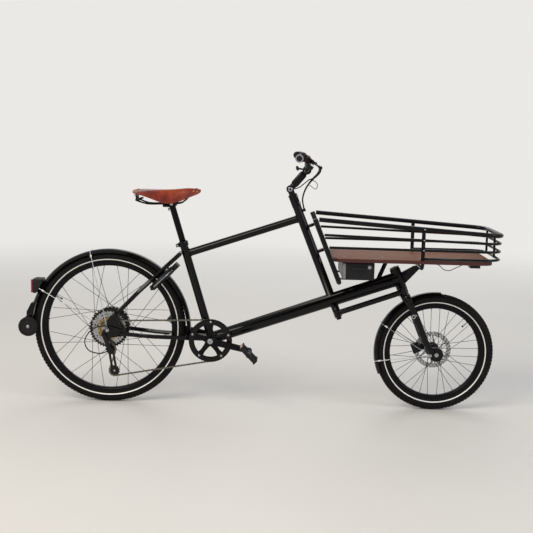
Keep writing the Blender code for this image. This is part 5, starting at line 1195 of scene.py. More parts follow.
@dataclass
class Chain:
    """The roller chain: outer and inner plates in turn, with rollers and pins, laid along its loop."""

    wheels: tuple[tuple[Vector, float, int], ...] = (
        (BOTTOM_BRACKET, pitch_radius(CHAINRING_TEETH), 1), (REAR_AXLE, pitch_radius(COG_IN_USE), 1),
        (GUIDE_PULLEY, pitch_radius(PULLEY_TEETH), -1), (TENSION_PULLEY, pitch_radius(PULLEY_TEETH), 1)
    )
    plate_end: float = 0.0039
    waist: float = 0.66
    pin: float = 0.0016
    roller: float = 0.0035

    def build(self) -> None:
        """Models and dresses the chain."""
        loop = self.loop()
        count = round(loop[-1][1] / CHAIN_PITCH / 2) * 2
        stations = [self.at(loop, index * loop[-1][1] / count) for index in range(count)]
        outer, inner, pins = [], [], []
        for index, start in enumerate(stations):
            end = stations[(index + 1) % count]
            (outer if index % 2 else inner).append(self.placed(start, end))
            pins.append(self.placed(start, end, at_start=True))
        plates = [copies(self.plate(0.0022, 0.0028), outer), copies(self.plate(0.0013, 0.0018), inner)]
        rivets = copies(bar(-0.0027 * SIDE, 0.0027 * SIDE, self.pin, 8), pins)
        rollers = copies(bar(-0.0012 * SIDE, 0.0012 * SIDE, self.roller, 8), pins)
        dress(
            [*plates, rivets, rollers], "chain links", CHAIN_STEEL, Body.FRAME, Slot.STEEL, "chain",
            smooth=30
        )

    def plate(self, start: float, end: float) -> Piece:
        """A pair of waisted link plates, lying from the origin along X."""
        ends, outline = self.plate_end, []
        for middle, first in ((CHAIN_PITCH, -90), (0.0, 90)):
            for step in range(6):
                turn = radians(first + 180 * step / 5)
                outline.append((middle + ends * cos(turn), ends * sin(turn)))
            outline.append((CHAIN_PITCH / 2, ends * copysign(self.waist, -first)))
        return joined(*(prism(outline, sign * start, sign * end) for sign in (-1, 1)))

    def placed(self, start: Vector, end: Vector, at_start: bool = False) -> Matrix:
        """The matrix that lays a link from one pin to the next."""
        along = end - start
        turn = Matrix.Rotation(-atan2(along.z, along.x), 4, SIDE)
        stretch = 1.0 if at_start else along.length / CHAIN_PITCH
        return Matrix.Translation(start) @ turn @ Matrix.Diagonal((stretch, 1.0, 1.0, 1.0))

    def loop(self) -> list[tuple[Vector, float]]:
        """The chain's loop as close points, each with its distance from the start."""
        points = []
        for index, (centre, radius, turn) in enumerate(self.wheels):
            arrive = self.touch(self.wheels[index - 1], self.wheels[index])[1]
            leave = self.touch(self.wheels[index], self.wheels[(index + 1) % len(self.wheels)])[0]
            sweep = (leave - arrive) % tau if turn > 0 else -((arrive - leave) % tau)
            steps = max(6, round(abs(sweep) * radius / 0.003))
            for step in range(steps + 1):
                angle = arrive + sweep * step / steps
                points.append(polar(centre, radius, angle, CHAIN_SIDE))
        points.append(points[0])
        total, measured = 0.0, [(points[0], 0.0)]
        for before, after in zip(points, points[1:]):
            total += (after - before).length
            measured.append((after, total))
        return measured

    def touch(
        self, first: tuple[Vector, float, int], second: tuple[Vector, float, int]
    ) -> tuple[float, float]:
        """The angles at which a straight run leaves one wheel and meets the next."""
        (centre, radius, turn), (other, far, back) = first, second
        between = other - centre
        heading = atan2(between.z, between.x)
        lean = acos(max(-1.0, min(1.0, (turn * radius - back * far) / between.length)))
        leave = heading - turn * lean if turn > 0 else heading + (pi - lean)
        meet = leave if turn == back else leave + pi
        return leave, meet

    def at(self, loop: list[tuple[Vector, float]], distance: float) -> Vector:
        """The point at a distance along the loop."""
        for (start, low), (end, high) in zip(loop, loop[1:]):
            if high >= distance and high > low:
                return start.lerp(end, (distance - low) / (high - low))
        return loop[-1][0]


@dataclass
class Cassette:
    """Seven toothed cogs with spacers and a lockring."""

    teeth: tuple[int, ...] = (42, 36, 30, 24, 20, 17, 13)
    first: float = -0.029
    step: float = 0.0042
    hole: float = 0.0187
    wall: float = 0.0017
    bore: float = 0.0125
    spacer: float = 0.0225
    opened_from: int = 30

    def build(self) -> None:
        """Models and dresses the cassette."""
        finishes = (DARK_STEEL, STEEL, STEEL, GOLD_STEEL, GOLD_STEEL, GOLD_STEEL, STEEL)
        for index, (teeth, finish) in enumerate(zip(self.teeth, finishes)):
            side = self.first - self.step * index
            cog = toothed(
                REAR_AXLE, teeth, self.wall, side, self.hole, 0.0018 if teeth == COG_IN_USE else 0.0024
            )
            if teeth >= self.opened_from:
                cog = self.opened(cog, side, pitch_radius(teeth))
            dress(cog, f"cog of {teeth} teeth", finish, Body.CASSETTE, Slot.STEEL, smooth=25)
        shapes = []
        for index in range(len(self.teeth) - 1):
            face = self.first - self.step * index - self.wall / 2
            shapes.append(
                ring(REAR_AXLE, self.hole, self.spacer, face, face + self.wall - self.step + 0.00005)
            )
        lockring = [(0.0165, -0.056), (0.0195, -0.0556), (0.0195, -0.055)]
        shapes.append(lathed([(self.bore, -0.0552), *lockring, (self.bore, -0.0545)], REAR_AXLE, SIDE, 40))
        shapes.append(ring(REAR_AXLE, self.bore, self.hole - 0.0001, -0.0275, -0.055))
        name = "cassette spacers and lockring"
        dress(shapes, name, ALUMINIUM, Body.CASSETTE, Slot.ALUMINIUM, "cassette")

    def opened(self, cog: Piece, side: float, pitch: float) -> Piece:
        """Cuts the windows that leave a large cog with arms."""
        inner, outer = 0.03, pitch - 0.009
        place = polar(REAR_AXLE, (inner + outer) / 2, 0.2)
        radius = (outer - inner) / 2
        hole = bar(place + (side - 0.003) * SIDE, place + (side + 0.003) * SIDE, radius, 16)
        return cut_by(cog, round_copies(hole, REAR_AXLE, 7))


@dataclass
class Crankset:
    """Chainring with guard and spider, cranks with their spindle bolts, and both pedals."""

    length: float = 0.17
    angle: float = radians(-12.4)
    side: float = 0.067
    wall: float = 0.012
    pedal_side: float = 0.128
    arms: int = 5
    first_arm: float = 18.0
    bolt_circle: float = 0.0806
    pin_end: float = 0.166

    def build(self) -> None:
        """Models and dresses the crankset."""
        self.chainring()
        for sign in (-1, 1):
            self.crank(sign)
            self.pedal(sign)

    def chainring(self) -> None:
        """The toothed ring, its guard, and the bolts that hold them to the spider."""
        wheel = toothed(BOTTOM_BRACKET, CHAINRING_TEETH, 0.0026, CHAIN_SIDE, 0.077, 0.0022)
        dress(wheel, "chainring", DARK_STEEL, Body.CRANK, Slot.STEEL, "chainring", smooth=25)
        profile = [
            (0.069, -0.0555), (0.069, -0.0568), (0.0702, -0.0574), (0.0905, -0.0574), (0.0928, -0.0566),
            (0.0928, -0.0556), (0.0905, -0.0558), (0.0712, -0.0556)
        ]
        guard = lathed(profile, BOTTOM_BRACKET, SIDE, 120)
        dress(guard, "chainring guard", GLOSS_PAINT, Body.CRANK, Slot.GLOSS_BLACK, smooth=30)
        head = button_bolt(polar(BOTTOM_BRACKET, self.bolt_circle, 0.0, -0.0572), -SIDE, 0.0046, 0.0018)
        ends = [polar(BOTTOM_BRACKET, self.bolt_circle, 0.0, side) for side in (-0.0485, -0.0472)]
        bolts = self.on_arms(joined(head, bar(*ends, 0.0044, 12)))
        dress(bolts, "chainring bolts", STEEL, Body.CRANK, Slot.STEEL)

    def on_arms(self, piece: Piece) -> Piece:
        """Turns a piece that lies ahead of the axle to the spider's arms, with a copy on each."""
        piece.data.transform(turn_about(BOTTOM_BRACKET, -radians(self.first_arm)))
        return round_copies(piece, BOTTOM_BRACKET, self.arms)

    def towards(self, sign: int) -> float:
        """The angle at which a side's crank points."""
        return self.angle if sign < 0 else self.angle + pi

    def crank(self, sign: int) -> None:
        """One crank: a forged arm that narrows to the pedal's eye, with its spindle bolt."""
        turn = self.towards(sign)
        eye = polar(BOTTOM_BRACKET, self.length, turn)
        outline = []
        for centre, radius, first, sweep in (
            (0.0, 0.0168, 60.0, 240.0), (self.length, 0.0131, -75.0, 150.0)
        ):
            for step in range(11):
                bend = radians(first + sweep * step / 10)
                outline.append((centre + radius * cos(bend), radius * sin(bend)))
        middle, half = sign * self.side, self.wall / 2
        arm = prism(outline, middle - half + 0.0002, middle + half - 0.0002, 0.0028, 3)
        edges = [(0.03, -0.0042), (0.14, -0.003), (0.14, 0.003), (0.03, 0.0042)]
        arm = cut_by(
            arm, prism(edges, middle + sign * (half - 0.0015), middle + sign * (half + 0.004), 0.0008, 1)
        )
        arm.data.transform(Matrix.Translation(BOTTOM_BRACKET) @ Matrix.Rotation(-turn, 4, SIDE))
        shapes = [arm, *self.spider()] if sign < 0 else [arm]
        name = "right crank" if sign < 0 else "left crank"
        dress(shapes, name, ANODISED, Body.CRANK, Slot.SATIN_BLACK, name.replace(" ", "_"), smooth=30)
        outward, root = sign * SIDE, abs(middle) + half
        bolt = button_bolt(BOTTOM_BRACKET + root * outward, outward, 0.0082, 0.002)
        washer = ring(BOTTOM_BRACKET, 0.0, 0.0115, root, root + 0.0008, outward, 32)
        thread = ring(eye, 0.0, 0.0066, root, root + 0.0009, outward, 24)
        dress([bolt, washer, thread], f"{name} bolt", STEEL, Body.CRANK, Slot.STEEL)
        profile = [
            (0.0, root - self.wall), (0.0048, root - self.wall), (0.0048, root), (0.0078, root + 0.001),
            (0.0078, root + 0.0035), (0.0048, root + 0.0045), (0.0044, self.pin_end), (0.0, self.pin_end)
        ]
        dress(lathed(profile, eye, outward, 20), f"{name} pedal pin", STEEL, Body.CRANK, Slot.STEEL)

    def spider(self) -> list[Piece]:
        """The hub and the five tapering arms behind the right crank."""
        profile = [(0.012, -0.0595), (0.0235, -0.0595), (0.0235, -0.05), (0.02, -0.047), (0.012, -0.047)]
        edge = [(0.014, -0.015), (0.032, -0.0112), (0.054, -0.0098), (0.068, -0.0128), (0.0765, -0.0185)]
        outline = [*edge, (0.0868, 0.0), *mirrored(edge)[len(edge) :]]
        arm = prism(outline, -0.0555, -0.052, 0.001, 2)
        arm.data.transform(Matrix.Translation(BOTTOM_BRACKET))
        return [lathed(profile, BOTTOM_BRACKET, SIDE, 48), self.on_arms(arm)]

    def pedal(self, sign: int) -> None:
        """One pedal: a bearing barrel between two toothed cages, with a reflector on each edge."""
        centre = polar(BOTTOM_BRACKET, self.length, self.towards(sign), sign * self.pedal_side)
        body = Body.RIGHT_PEDAL if sign < 0 else Body.LEFT_PEDAL
        name = "right pedal" if sign < 0 else "left pedal"
        along = (FORWARD - UP).normalized()
        long, wide, wall, tooth_pitch = 0.0435, 0.0455, 0.0105, 0.0095
        half = [(0.0054, wide), (0.0082, wide), (0.0102, wide - 0.003), (0.0102, 0.012), (0.0088, 0.009)]
        shapes, lights = [lathed(mirrored(half), centre, SIDE, 32)], []
        for end in (-1, 1):
            edge = centre + end * (long - 0.003) * along
            shapes.append(slab(edge, (0.0055, 2 * wide, 2 * wall), along, 0.0016))
            for step in range(-4, 5):
                for face in (-1, 1):
                    place = edge + step * tooth_pitch * SIDE + face * (wall - 0.0006) * SIDE.cross(along)
                    shapes.append(slab(place, (0.005, 0.004, 0.0024), along, 0.0005, 1))
            side, rib = end * (wide - 0.003) * SIDE, end * 0.024 * SIDE
            shapes.append(slab(centre + side, (2 * long - 0.006, 0.0055, 0.015), along, 0.0016))
            shapes.append(slab(centre + rib, (2 * long - 0.008, 0.007, 0.012), along, 0.0014))
            lights.append(
                slab(centre + end * (long - 0.0002) * along, (0.0016, 0.052, 0.0125), along, 0.0004, 1)
            )
        dress(shapes, name, PLASTIC, body, Slot.BLACK_PLASTIC, name.replace(" ", "_"), smooth=30)
        dress(lights, f"{name} reflectors", AMBER, body, Slot.BLACK_PLASTIC, smooth=30)


@dataclass
class Derailleur:
    """The derailleur: its body on the frame, and the cage plates with both pulleys below."""

    plates: tuple[tuple[float, float], ...] = ((-0.0552, -0.0539), (-0.0461, -0.0448))
    plate_ends: tuple[float, float] = (0.0118, 0.0128)
    window: tuple[float, float, float] = (0.052, 0.006, 0.009)

    def build(self) -> None:
        """Models and dresses the derailleur."""
        dress_cad("derailleur_body", SATIN_PAINT, Body.FRAME, Slot.SATIN_BLACK, 0.0008, smooth=35)
        place = REAR_AXLE + Vector((-0.013, 0.0, -0.0285))
        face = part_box("derailleur_body")[0].y + 0.0016
        collar = [(0.005, 0.0), (0.008, 0.0), (0.008, -0.0012), (0.0066, -0.0016), (0.005, -0.0012)]
        shape = lathed(collar, place + face * SIDE, SIDE, 32)
        dress(shape, "derailleur bolt ring", STEEL, Body.FRAME, Slot.STEEL)
        self.cage()
        self.pulley(GUIDE_PULLEY, Body.GUIDE, "guide pulley")
        self.pulley(TENSION_PULLEY, Body.TENSION, "tension pulley")

    def cage(self) -> None:
        """The two cage plates with a window between the pulleys, and the bolts through the pulleys."""
        centres = (GUIDE_PULLEY, TENSION_PULLEY)
        along = (TENSION_PULLEY - GUIDE_PULLEY).normalized()
        outline = []
        for index, (centre, radius) in enumerate(zip(centres, self.plate_ends)):
            first = atan2(along.z, along.x) + pi * (index + 0.5)
            for step in range(9):
                end = polar(centre, radius, first + pi * step / 8)
                outline.append((end.x, end.z))
        plates = []
        for low, high in self.plates:
            middle = (GUIDE_PULLEY + TENSION_PULLEY) / 2 + (low + high) / 2 * SIDE
            window = slab(middle, self.window, along, 0.003)
            plates.append(cut_by(prism(outline, low, high, 0.0004, 1), window))
        dress(
            plates, "derailleur cage", DARK_STEEL, Body.CAGE, Slot.SATIN_BLACK, "derailleur_cage", smooth=30
        )
        right, left = self.plates[0][0] * SIDE, self.plates[-1][-1] * SIDE
        bolts = [button_bolt(centre + right, -SIDE, 0.0042, 0.0016) for centre in centres]
        bolts += [bar(centre + right, centre + left, 0.0024, 12) for centre in centres]
        dress(bolts, "derailleur cage bolts", STEEL, Body.CAGE, Slot.STEEL)

    def pulley(self, centre: Vector, body: Body, name: str) -> None:
        """One toothed pulley with its bush."""
        wheel = toothed(centre, PULLEY_TEETH, 0.0022, CHAIN_SIDE, 0.0052, 0.0012)
        bush = ring(centre, 0.003, 0.0078, -0.0466, -0.0534, steps=24)
        dress([wheel, bush], name, PLASTIC, body, Slot.BLACK_PLASTIC, name.replace(" ", "_"), smooth=30)


def arc_sweep(section: Profile, centre: Vector, start: float, end: float, steps: int) -> Piece:
    """Sweeps a closed section along part of a circle in the XZ plane.

    Args:
        section: (radius, side) pairs round the section.
        centre: the circle's centre.
        start: the first angle, in degrees.
        end: the last angle, in degrees.
        steps: the number of steps between them.

    Returns:
        The swept solid with closed ends.
    """
    count = len(section)
    points, faces = [], []
    for step in range(steps + 1):
        angle = radians(start + (end - start) * step / steps)
        points += [polar(centre, radius, angle, side) for radius, side in section]
        if step:
            first = (step - 1) * count
            for i in range(count):
                j = (i + 1) % count
                faces.append((first + i, first + j, first + count + j, first + count + i))
    faces += [tuple(range(count)), tuple(range(steps * count, (steps + 1) * count))]
    return welded(mesh_object(points, [], faces), FINE_WELD)


ROLLER_CENTRE = Vector((-0.9785, 0.0, 0.326))


@dataclass
class Mudguard:
    """A rolled mudguard on wire stays, with the beads that clamp the wires."""

    name: str
    body: Body
    centre: Vector
    radius: float
    width: float
    span: tuple[float, float]
    stays: tuple[float, ...]
    stay_feet: tuple[float, ...]
    foot_radius: float
    foot_side: float
    drop: float = 0.014
    wall: float = 0.0013
    wire: float = 0.0016
    eye: tuple[float, float] = (0.0028, 0.0056)

    def build(self) -> None:
        """Models and dresses the guard."""
        outer, inner = [], []
        for step in range(21):
            share = step / 10 - 1
            fall = self.drop * abs(share) ** 2.6
            edge = 0.0006 * max(0.0, abs(share) - 0.9) / 0.1
            outer.append(
                (self.radius - fall - 0.0001, share * (self.width / 2 - 0.0004) + copysign(edge, share))
            )
            inner.append(
                (self.radius - fall - self.wall - edge, share * (self.width / 2 - self.wall - 0.0004))
            )
        shapes = [arc_sweep(outer + inner[::-1], self.centre, *self.span, 90), *self.tips()]
        name = f"{self.name} mudguard"
        dress(shapes, name, GLOSS_PAINT, self.body, Slot.GLOSS_BLACK, name.replace(" ", "_"))
        self.wires()

    def tips(self) -> list[Piece]:
        """What the guard's shell carries besides its stays."""
        return []

    def wires(self) -> None:
        """The wire stays: each bends in from its bead on the guard's edge to an eye at the frame."""
        wires, beads, screws = [], [], []
        axle = REAR_AXLE if self.name == "rear" else FRONT_AXLE
        bead = mirrored([(0.0, -0.007), (0.003, -0.0064), (0.0038, -0.003)])
        for angle, foot_angle in zip(self.stays, self.stay_feet):
            for sign in (-1, 1):
                side = sign * (self.width / 2 + 0.0002)
                rim = polar(self.centre, self.radius - self.drop + 0.001, radians(angle), side)
                foot = polar(axle, self.foot_radius, radians(foot_angle), sign * self.foot_side)
                along = (foot - rim).normalized()
                eye = foot + 0.004 * along
                stations = [rim - 0.014 * along, rim + 0.002 * along, foot - 0.006 * along, foot]
                wires += [tube(stations, self.wire, 2), ring(eye, *self.eye, -0.0014, 0.0014, steps=20)]
                screws.append(button_bolt(eye + sign * 0.0012 * SIDE, sign * SIDE, 0.0042, 0.002))
                beads.append(lathed(bead, rim + 0.008 * along, along, 16))
        dress(wires, f"{self.name} mudguard stays", STEEL, self.body, Slot.GLOSS_BLACK, smooth=40)
        dress(beads, f"{self.name} stay beads", CLEAR, self.body, Slot.GLOSS_BLACK)
        dress(screws, f"{self.name} stay screws", STEEL, self.body, Slot.STEEL)


class RearMudguard(Mudguard):
    """The rear guard, whose end carries the small rollers that the bike can stand on."""

    def tips(self) -> list[Piece]:
        """The block between guard and roller axle, with its eased corners."""
        roller_x, _, roller_z = ROLLER_CENTRE
        inner = [polar(REAR_AXLE, 0.3355, radians(angle)) for angle in (182, 177, 172, 167, 163)]
        back = roller_x - 0.012
        outline = [
            (back, inner[0].z), *[(point.x, point.z) for point in inner], (back + 0.02, inner[-1].z + 0.002)
        ]
        outline.append((back, roller_z + 0.06))
        holder = prism(outline, -0.0262, 0.0262, 0.003, 2)
        room = bar(ROLLER_CENTRE - 0.06 * SIDE, ROLLER_CENTRE + 0.06 * SIDE, 0.0056, 24)
        return [cut_by(holder, room)]


@dataclass
class TailEnd:
    """The tail light with its lens, and the pair of small rollers under it."""

    roller_sides: tuple[float, float] = (0.0342, 0.0518)
    axle: float = 0.0045
    hub: float = 0.0085
    holder_half: float = 0.0268

    def build(self) -> None:
        """Models and dresses both."""
        dress_cad("tail_light", PLASTIC, Body.FRAME, Slot.BLACK_PLASTIC, 0.0035, 3, name="tail light case")
        low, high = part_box("tail_light_lens")
        lens = block(low + 0.0004 * FORWARD, high, 0.003, 3)
        dress(lens, "tail light lens", RED_LENS, Body.FRAME, Slot.RED_LENS, "tail_light_lens", smooth=40)
        disc = [(0.0, 0.0), (0.0135, 0.0), (0.0135, -0.0009), (0.011, -0.0016), (0.0, -0.0016)]
        eye = lathed(disc, Vector((low.x + 0.0022, 0.0, (low.z + high.z) / 2)), FORWARD, 32)
        dress(eye, "tail light reflector", RED_LENS, Body.FRAME, Slot.RED_LENS)
        self.rollers()

    def rollers(self) -> None:
        """Two rubber rollers on their axle."""
        low, high = self.roller_sides
        half = (high - low) / 2
        tread = mirrored(
            [(0.026, -half), (0.0385, -half), (0.0412, 0.002 - half), (0.0419, -0.003), (0.0405, 0.0)]
        )
        web = mirrored([(0.006, -half), (0.012, -half), (0.014, 0.003 - half), (0.0262, 0.002 - half)])
        inside = self.holder_half * SIDE
        tyres, cores, bolts = [], [], []
        for sign in (-1, 1):
            middle = ROLLER_CENTRE + sign * (low + half) * SIDE
            tyres.append(lathed(tread, middle, SIDE, 64))
            cores.append(lathed(web, middle, SIDE, 48))
            cores.append(
                bar(ROLLER_CENTRE + sign * inside, ROLLER_CENTRE + sign * low * SIDE, self.hub, 20, 0.0004)
            )
            bolts.append(
                button_bolt(ROLLER_CENTRE + sign * (high - 0.0006) * SIDE, sign * SIDE, 0.0066, 0.0024)
            )
        cores.append(bar(ROLLER_CENTRE - inside, ROLLER_CENTRE + inside, self.axle, 20))
        dress(tyres, "tail roller tyres", RUBBER, Body.ROLLERS, Slot.RUBBER, "tail_rollers")
        dress(cores, "tail roller cores", PLASTIC, Body.ROLLERS, Slot.RUBBER)
        dress(bolts, "tail roller bolts", STEEL, Body.ROLLERS, Slot.RUBBER)


@dataclass
class MainFrame:
    """The frame's tubes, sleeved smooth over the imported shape, with weld beads, bearing cups and clamp."""

    main_tube: float = 0.0255
    seat_tube: float = 0.0171
    top_tube: float = 0.016
    sleeve: float = 0.05 * MM
    ripples: int = 24
    ripple: float = 0.3 * MM
    cup_inner: float = 0.015
    cup_outer: float = 0.0232
    cups: tuple[tuple[float, float], ...] = ((0.2886, -0.002), (0.3952, 0.002))
    shell_half: float = 0.0341

    def build(self) -> None:
        """Models and dresses the frame."""
        dress_cad("main_frame", GLOSS_PAINT, Body.FRAME, Slot.GLOSS_BLACK, extra=self.tubes())
        dress_cad("rear_triangle", GLOSS_PAINT, Body.FRAME, Slot.GLOSS_BLACK)
        rings = []
        for at, step in self.cups:
            edge = [
                (self.cup_outer, at), (self.cup_outer, at + step * 0.6),
                (self.cup_outer - 0.0017, at + step)
            ]
            rings.append(
                lathed([(self.cup_inner, at), *edge, (self.cup_inner, at + step)], FORK_FOOT, STEER_UP, 56)
            )
        dress(rings, "head bearing cups", SATIN_PAINT, Body.FRAME, Slot.SATIN_BLACK, smooth=30)
        profile = [(0.0125, 0.0), (0.0205, 0.0), (0.0205, 0.0016), (0.018, 0.003), (0.0125, 0.003)]
        sides = [(BOTTOM_BRACKET + sign * self.shell_half * SIDE, sign * SIDE) for sign in (-1, 1)]
        cups = [lathed(profile, place, way, 48) for place, way in sides]
        dress(cups, "bottom bracket cups", SATIN_PAINT, Body.FRAME, Slot.SATIN_BLACK, smooth=30)
        dress_cad("seat_clamp", GLOSS_PAINT, Body.FRAME, Slot.ALUMINIUM, 0.001, smooth=35)
        lug, out = on_seat_tube(0.4265, -0.025), 0.0101 * SIDE
        bolt = [button_bolt(lug - out, -SIDE, 0.004, 0.003), hex_nut(lug + out, SIDE, 0.0042, 0.003)]
        dress(bolt, "seat clamp bolt", STEEL, Body.FRAME, Slot.STEEL)
        dress_cad("rear_axle", STEEL, Body.FRAME, Slot.STEEL, 0.0004, smooth=30, name="rear axle and nuts")

    def tubes(self) -> list[Piece]:
        """The three round sleeves, and the weld beads at their ends."""
        main_end, seat_top = on_fork(0.35), on_seat_tube(0.4356)
        top_start, top_end = on_seat_tube(0.382), on_column(0.43)
        along, over = (main_end - BOTTOM_BRACKET).normalized(), (top_end - top_start).normalized()
        main_start, seat_start = BOTTOM_BRACKET + 0.03 * along, BOTTOM_BRACKET + 0.03 * SEAT_UP
        welds = (
            (main_start, along, self.main_tube), (seat_start, SEAT_UP, self.seat_tube),
            (top_start + 0.0195 * over, over, self.top_tube),
            (top_end - 0.0205 * over, over, self.top_tube),
            (main_end - 0.026 * along, along, self.main_tube)
        )
        return [
            bar(main_start, main_end - 0.012 * along, self.main_tube + self.sleeve, 64),
            bar(seat_start, seat_top - 0.03 * SEAT_UP, self.seat_tube + self.sleeve, 48),
            bar(top_start + 0.02 * over, top_end - 0.02 * over, self.top_tube + self.sleeve, 48),
            *(self.bead(*weld) for weld in welds)
        ]

    def bead(self, place: Vector, along: Vector, radius: float) -> Piece:
        """A weld's rippled bead round a tube."""
        half = [(radius, -0.003), (radius + 0.0012, -0.0018), (radius + 0.0017, 0.0)]
        weld = lathed(mirrored(half), place, along, 72)
        for point in weld.data.vertices:
            outward = point.co - place
            outward -= outward.dot(along) * along
            turn = atan2(outward.y, outward.z)
            point.co += outward.normalized() * self.ripple * sin(turn * self.ripples)
        return weld


@dataclass
class RingLock:
    """The ring lock on the seat stays: its horseshoe case and its bolt."""

    case_ease: float = 0.0018
    bolt_ease: float = 0.0006

    def build(self) -> None:
        """Models and dresses the lock."""
        dress_cad(
            "ring_lock", PLASTIC, Body.FRAME, Slot.BLACK_PLASTIC, self.case_ease, name="ring lock case"
        )
        dress_cad("ring_lock_bolt", STEEL, Body.LOCK, Slot.STEEL, self.bolt_ease)


@dataclass
class ForkSet:
    """Fork crown, legs and ends, the brake caliper, the tie rod and the bolts on them."""

    leg: float = 0.01365
    leg_side: float = 0.0645
    leg_route: tuple[tuple[float, float], ...] = (
        (0.272, 0.003), (0.18, 0.012), (0.06, 0.012), (0.02, 0.021)
    )
    end_side: float = 0.059
    crown: tuple[float, float, float] = (0.0376, 0.1486, 0.0196)
    rod: float = 0.01165
    rod_side: float = -0.055

    def build(self) -> None:
        """Models and dresses the fork."""
        end = mirrored([(0.006, 0.0088), (0.0285, 0.0088), (0.03, 0.0074)])
        shapes, bolts = [from_cad("fork")], []
        for sign in (-1, 1):
            out = sign * SIDE
            route = [on_fork(height, forward, sign * self.leg_side) for height, forward in self.leg_route]
            shapes.append(tube(bent(route, 0.05), self.leg, 14))
            shapes.append(lathed(end, FRONT_AXLE + self.end_side * out, SIDE, 72))
            for height in (0.27, 0.2805):
                bolts.append(button_bolt(on_fork(height, 0.0, sign * 0.0743), out, 0.0032, 0.0016))
            rim = [(0.0046, 0.0), (0.009, 0.0), (0.009, 0.0011), (0.0076, 0.0018), (0.0046, 0.0015)]
            bolts.append(lathed(rim, on_fork(0.191, 0.001, sign * 0.0777), out, 40))
            bolts.append(button_bolt(on_fork(0.191, 0.0135, sign * 0.0777), out, 0.0034, 0.0018))
        bolts.append(button_bolt(on_fork(0.4071), STEER_UP, 0.006, 0.002))
        crown = slab(on_fork(0.2755), self.crown, STEER_FORWARD, 0.004, 3)
        shapes.append(cut_by(crown, bar(on_fork(0.262), on_fork(0.29), 0.0125)))
        dress(shapes, "fork", GLOSS_PAINT, Body.FORK, Slot.GLOSS_BLACK, "fork", smooth=40)
        dress(bolts, "fork bolts", STEEL, Body.FORK, Slot.STEEL)
        dress_cad("front_caliper", SATIN_PAINT, Body.FORK, Slot.SATIN_BLACK, 0.0022)
        self.tie_rod()

    def tie_rod(self) -> None:
        """The rod between the steering arm and the fork, with ball-joint housings at its ends."""
        rear, front = on_column(0.0, 0.0, self.rod_side), on_fork(0.303, 0.0, self.rod_side)
        along = (front - rear).normalized()
        shapes = [bar(rear + 0.012 * along, front - 0.012 * along, self.rod, 40)]
        for end, way in ((rear, along), (front, -along)):
            shapes.append(bar(end + 0.0235 * way, end + 0.0295 * way, 0.0122, 6, 0.0008))
        dress_cad("tie_rod", GLOSS_PAINT, Body.TIE_ROD, Slot.GLOSS_BLACK, 0.0006, 1, extra=shapes)


BAR_OFFSETS = (
    (0.0, 0.0, 0.0), (0.0, 0.048, 0.0), (0.003, 0.085, 0.03), (-0.004, 0.135, 0.052),
    (-0.022, 0.215, 0.057), (-0.04, 0.306, 0.055)
)
LEVER_OUT = Vector((0.866, 0.0, -0.5))
LEVER_AXIS = Vector((0.5, 0.0, 0.866))


def bar_path(sign: int) -> list[Vector]:
    """The handlebar's middle line from its clamp to one end."""
    return bent([BAR_CENTRE + Vector((x, sign * y, z)) for x, y, z in BAR_OFFSETS], 0.04)


def bar_point(side: float) -> Vector:
    """The point of the handlebar's middle line at a side distance."""
    path = bar_path(1 if side > 0 else -1)
    for start, end in zip(path, path[1:]):
        if abs(start.y) <= abs(side) <= abs(end.y):
            return start.lerp(end, (abs(side) - abs(start.y)) / (abs(end.y) - abs(start.y)))
    return path[-1]


def bar_run(side: float) -> Vector:
    """The handlebar's direction there, outwards."""
    step = 0.002 if side > 0 else -0.002
    return (bar_point(side + step) - bar_point(side - step)).normalized()


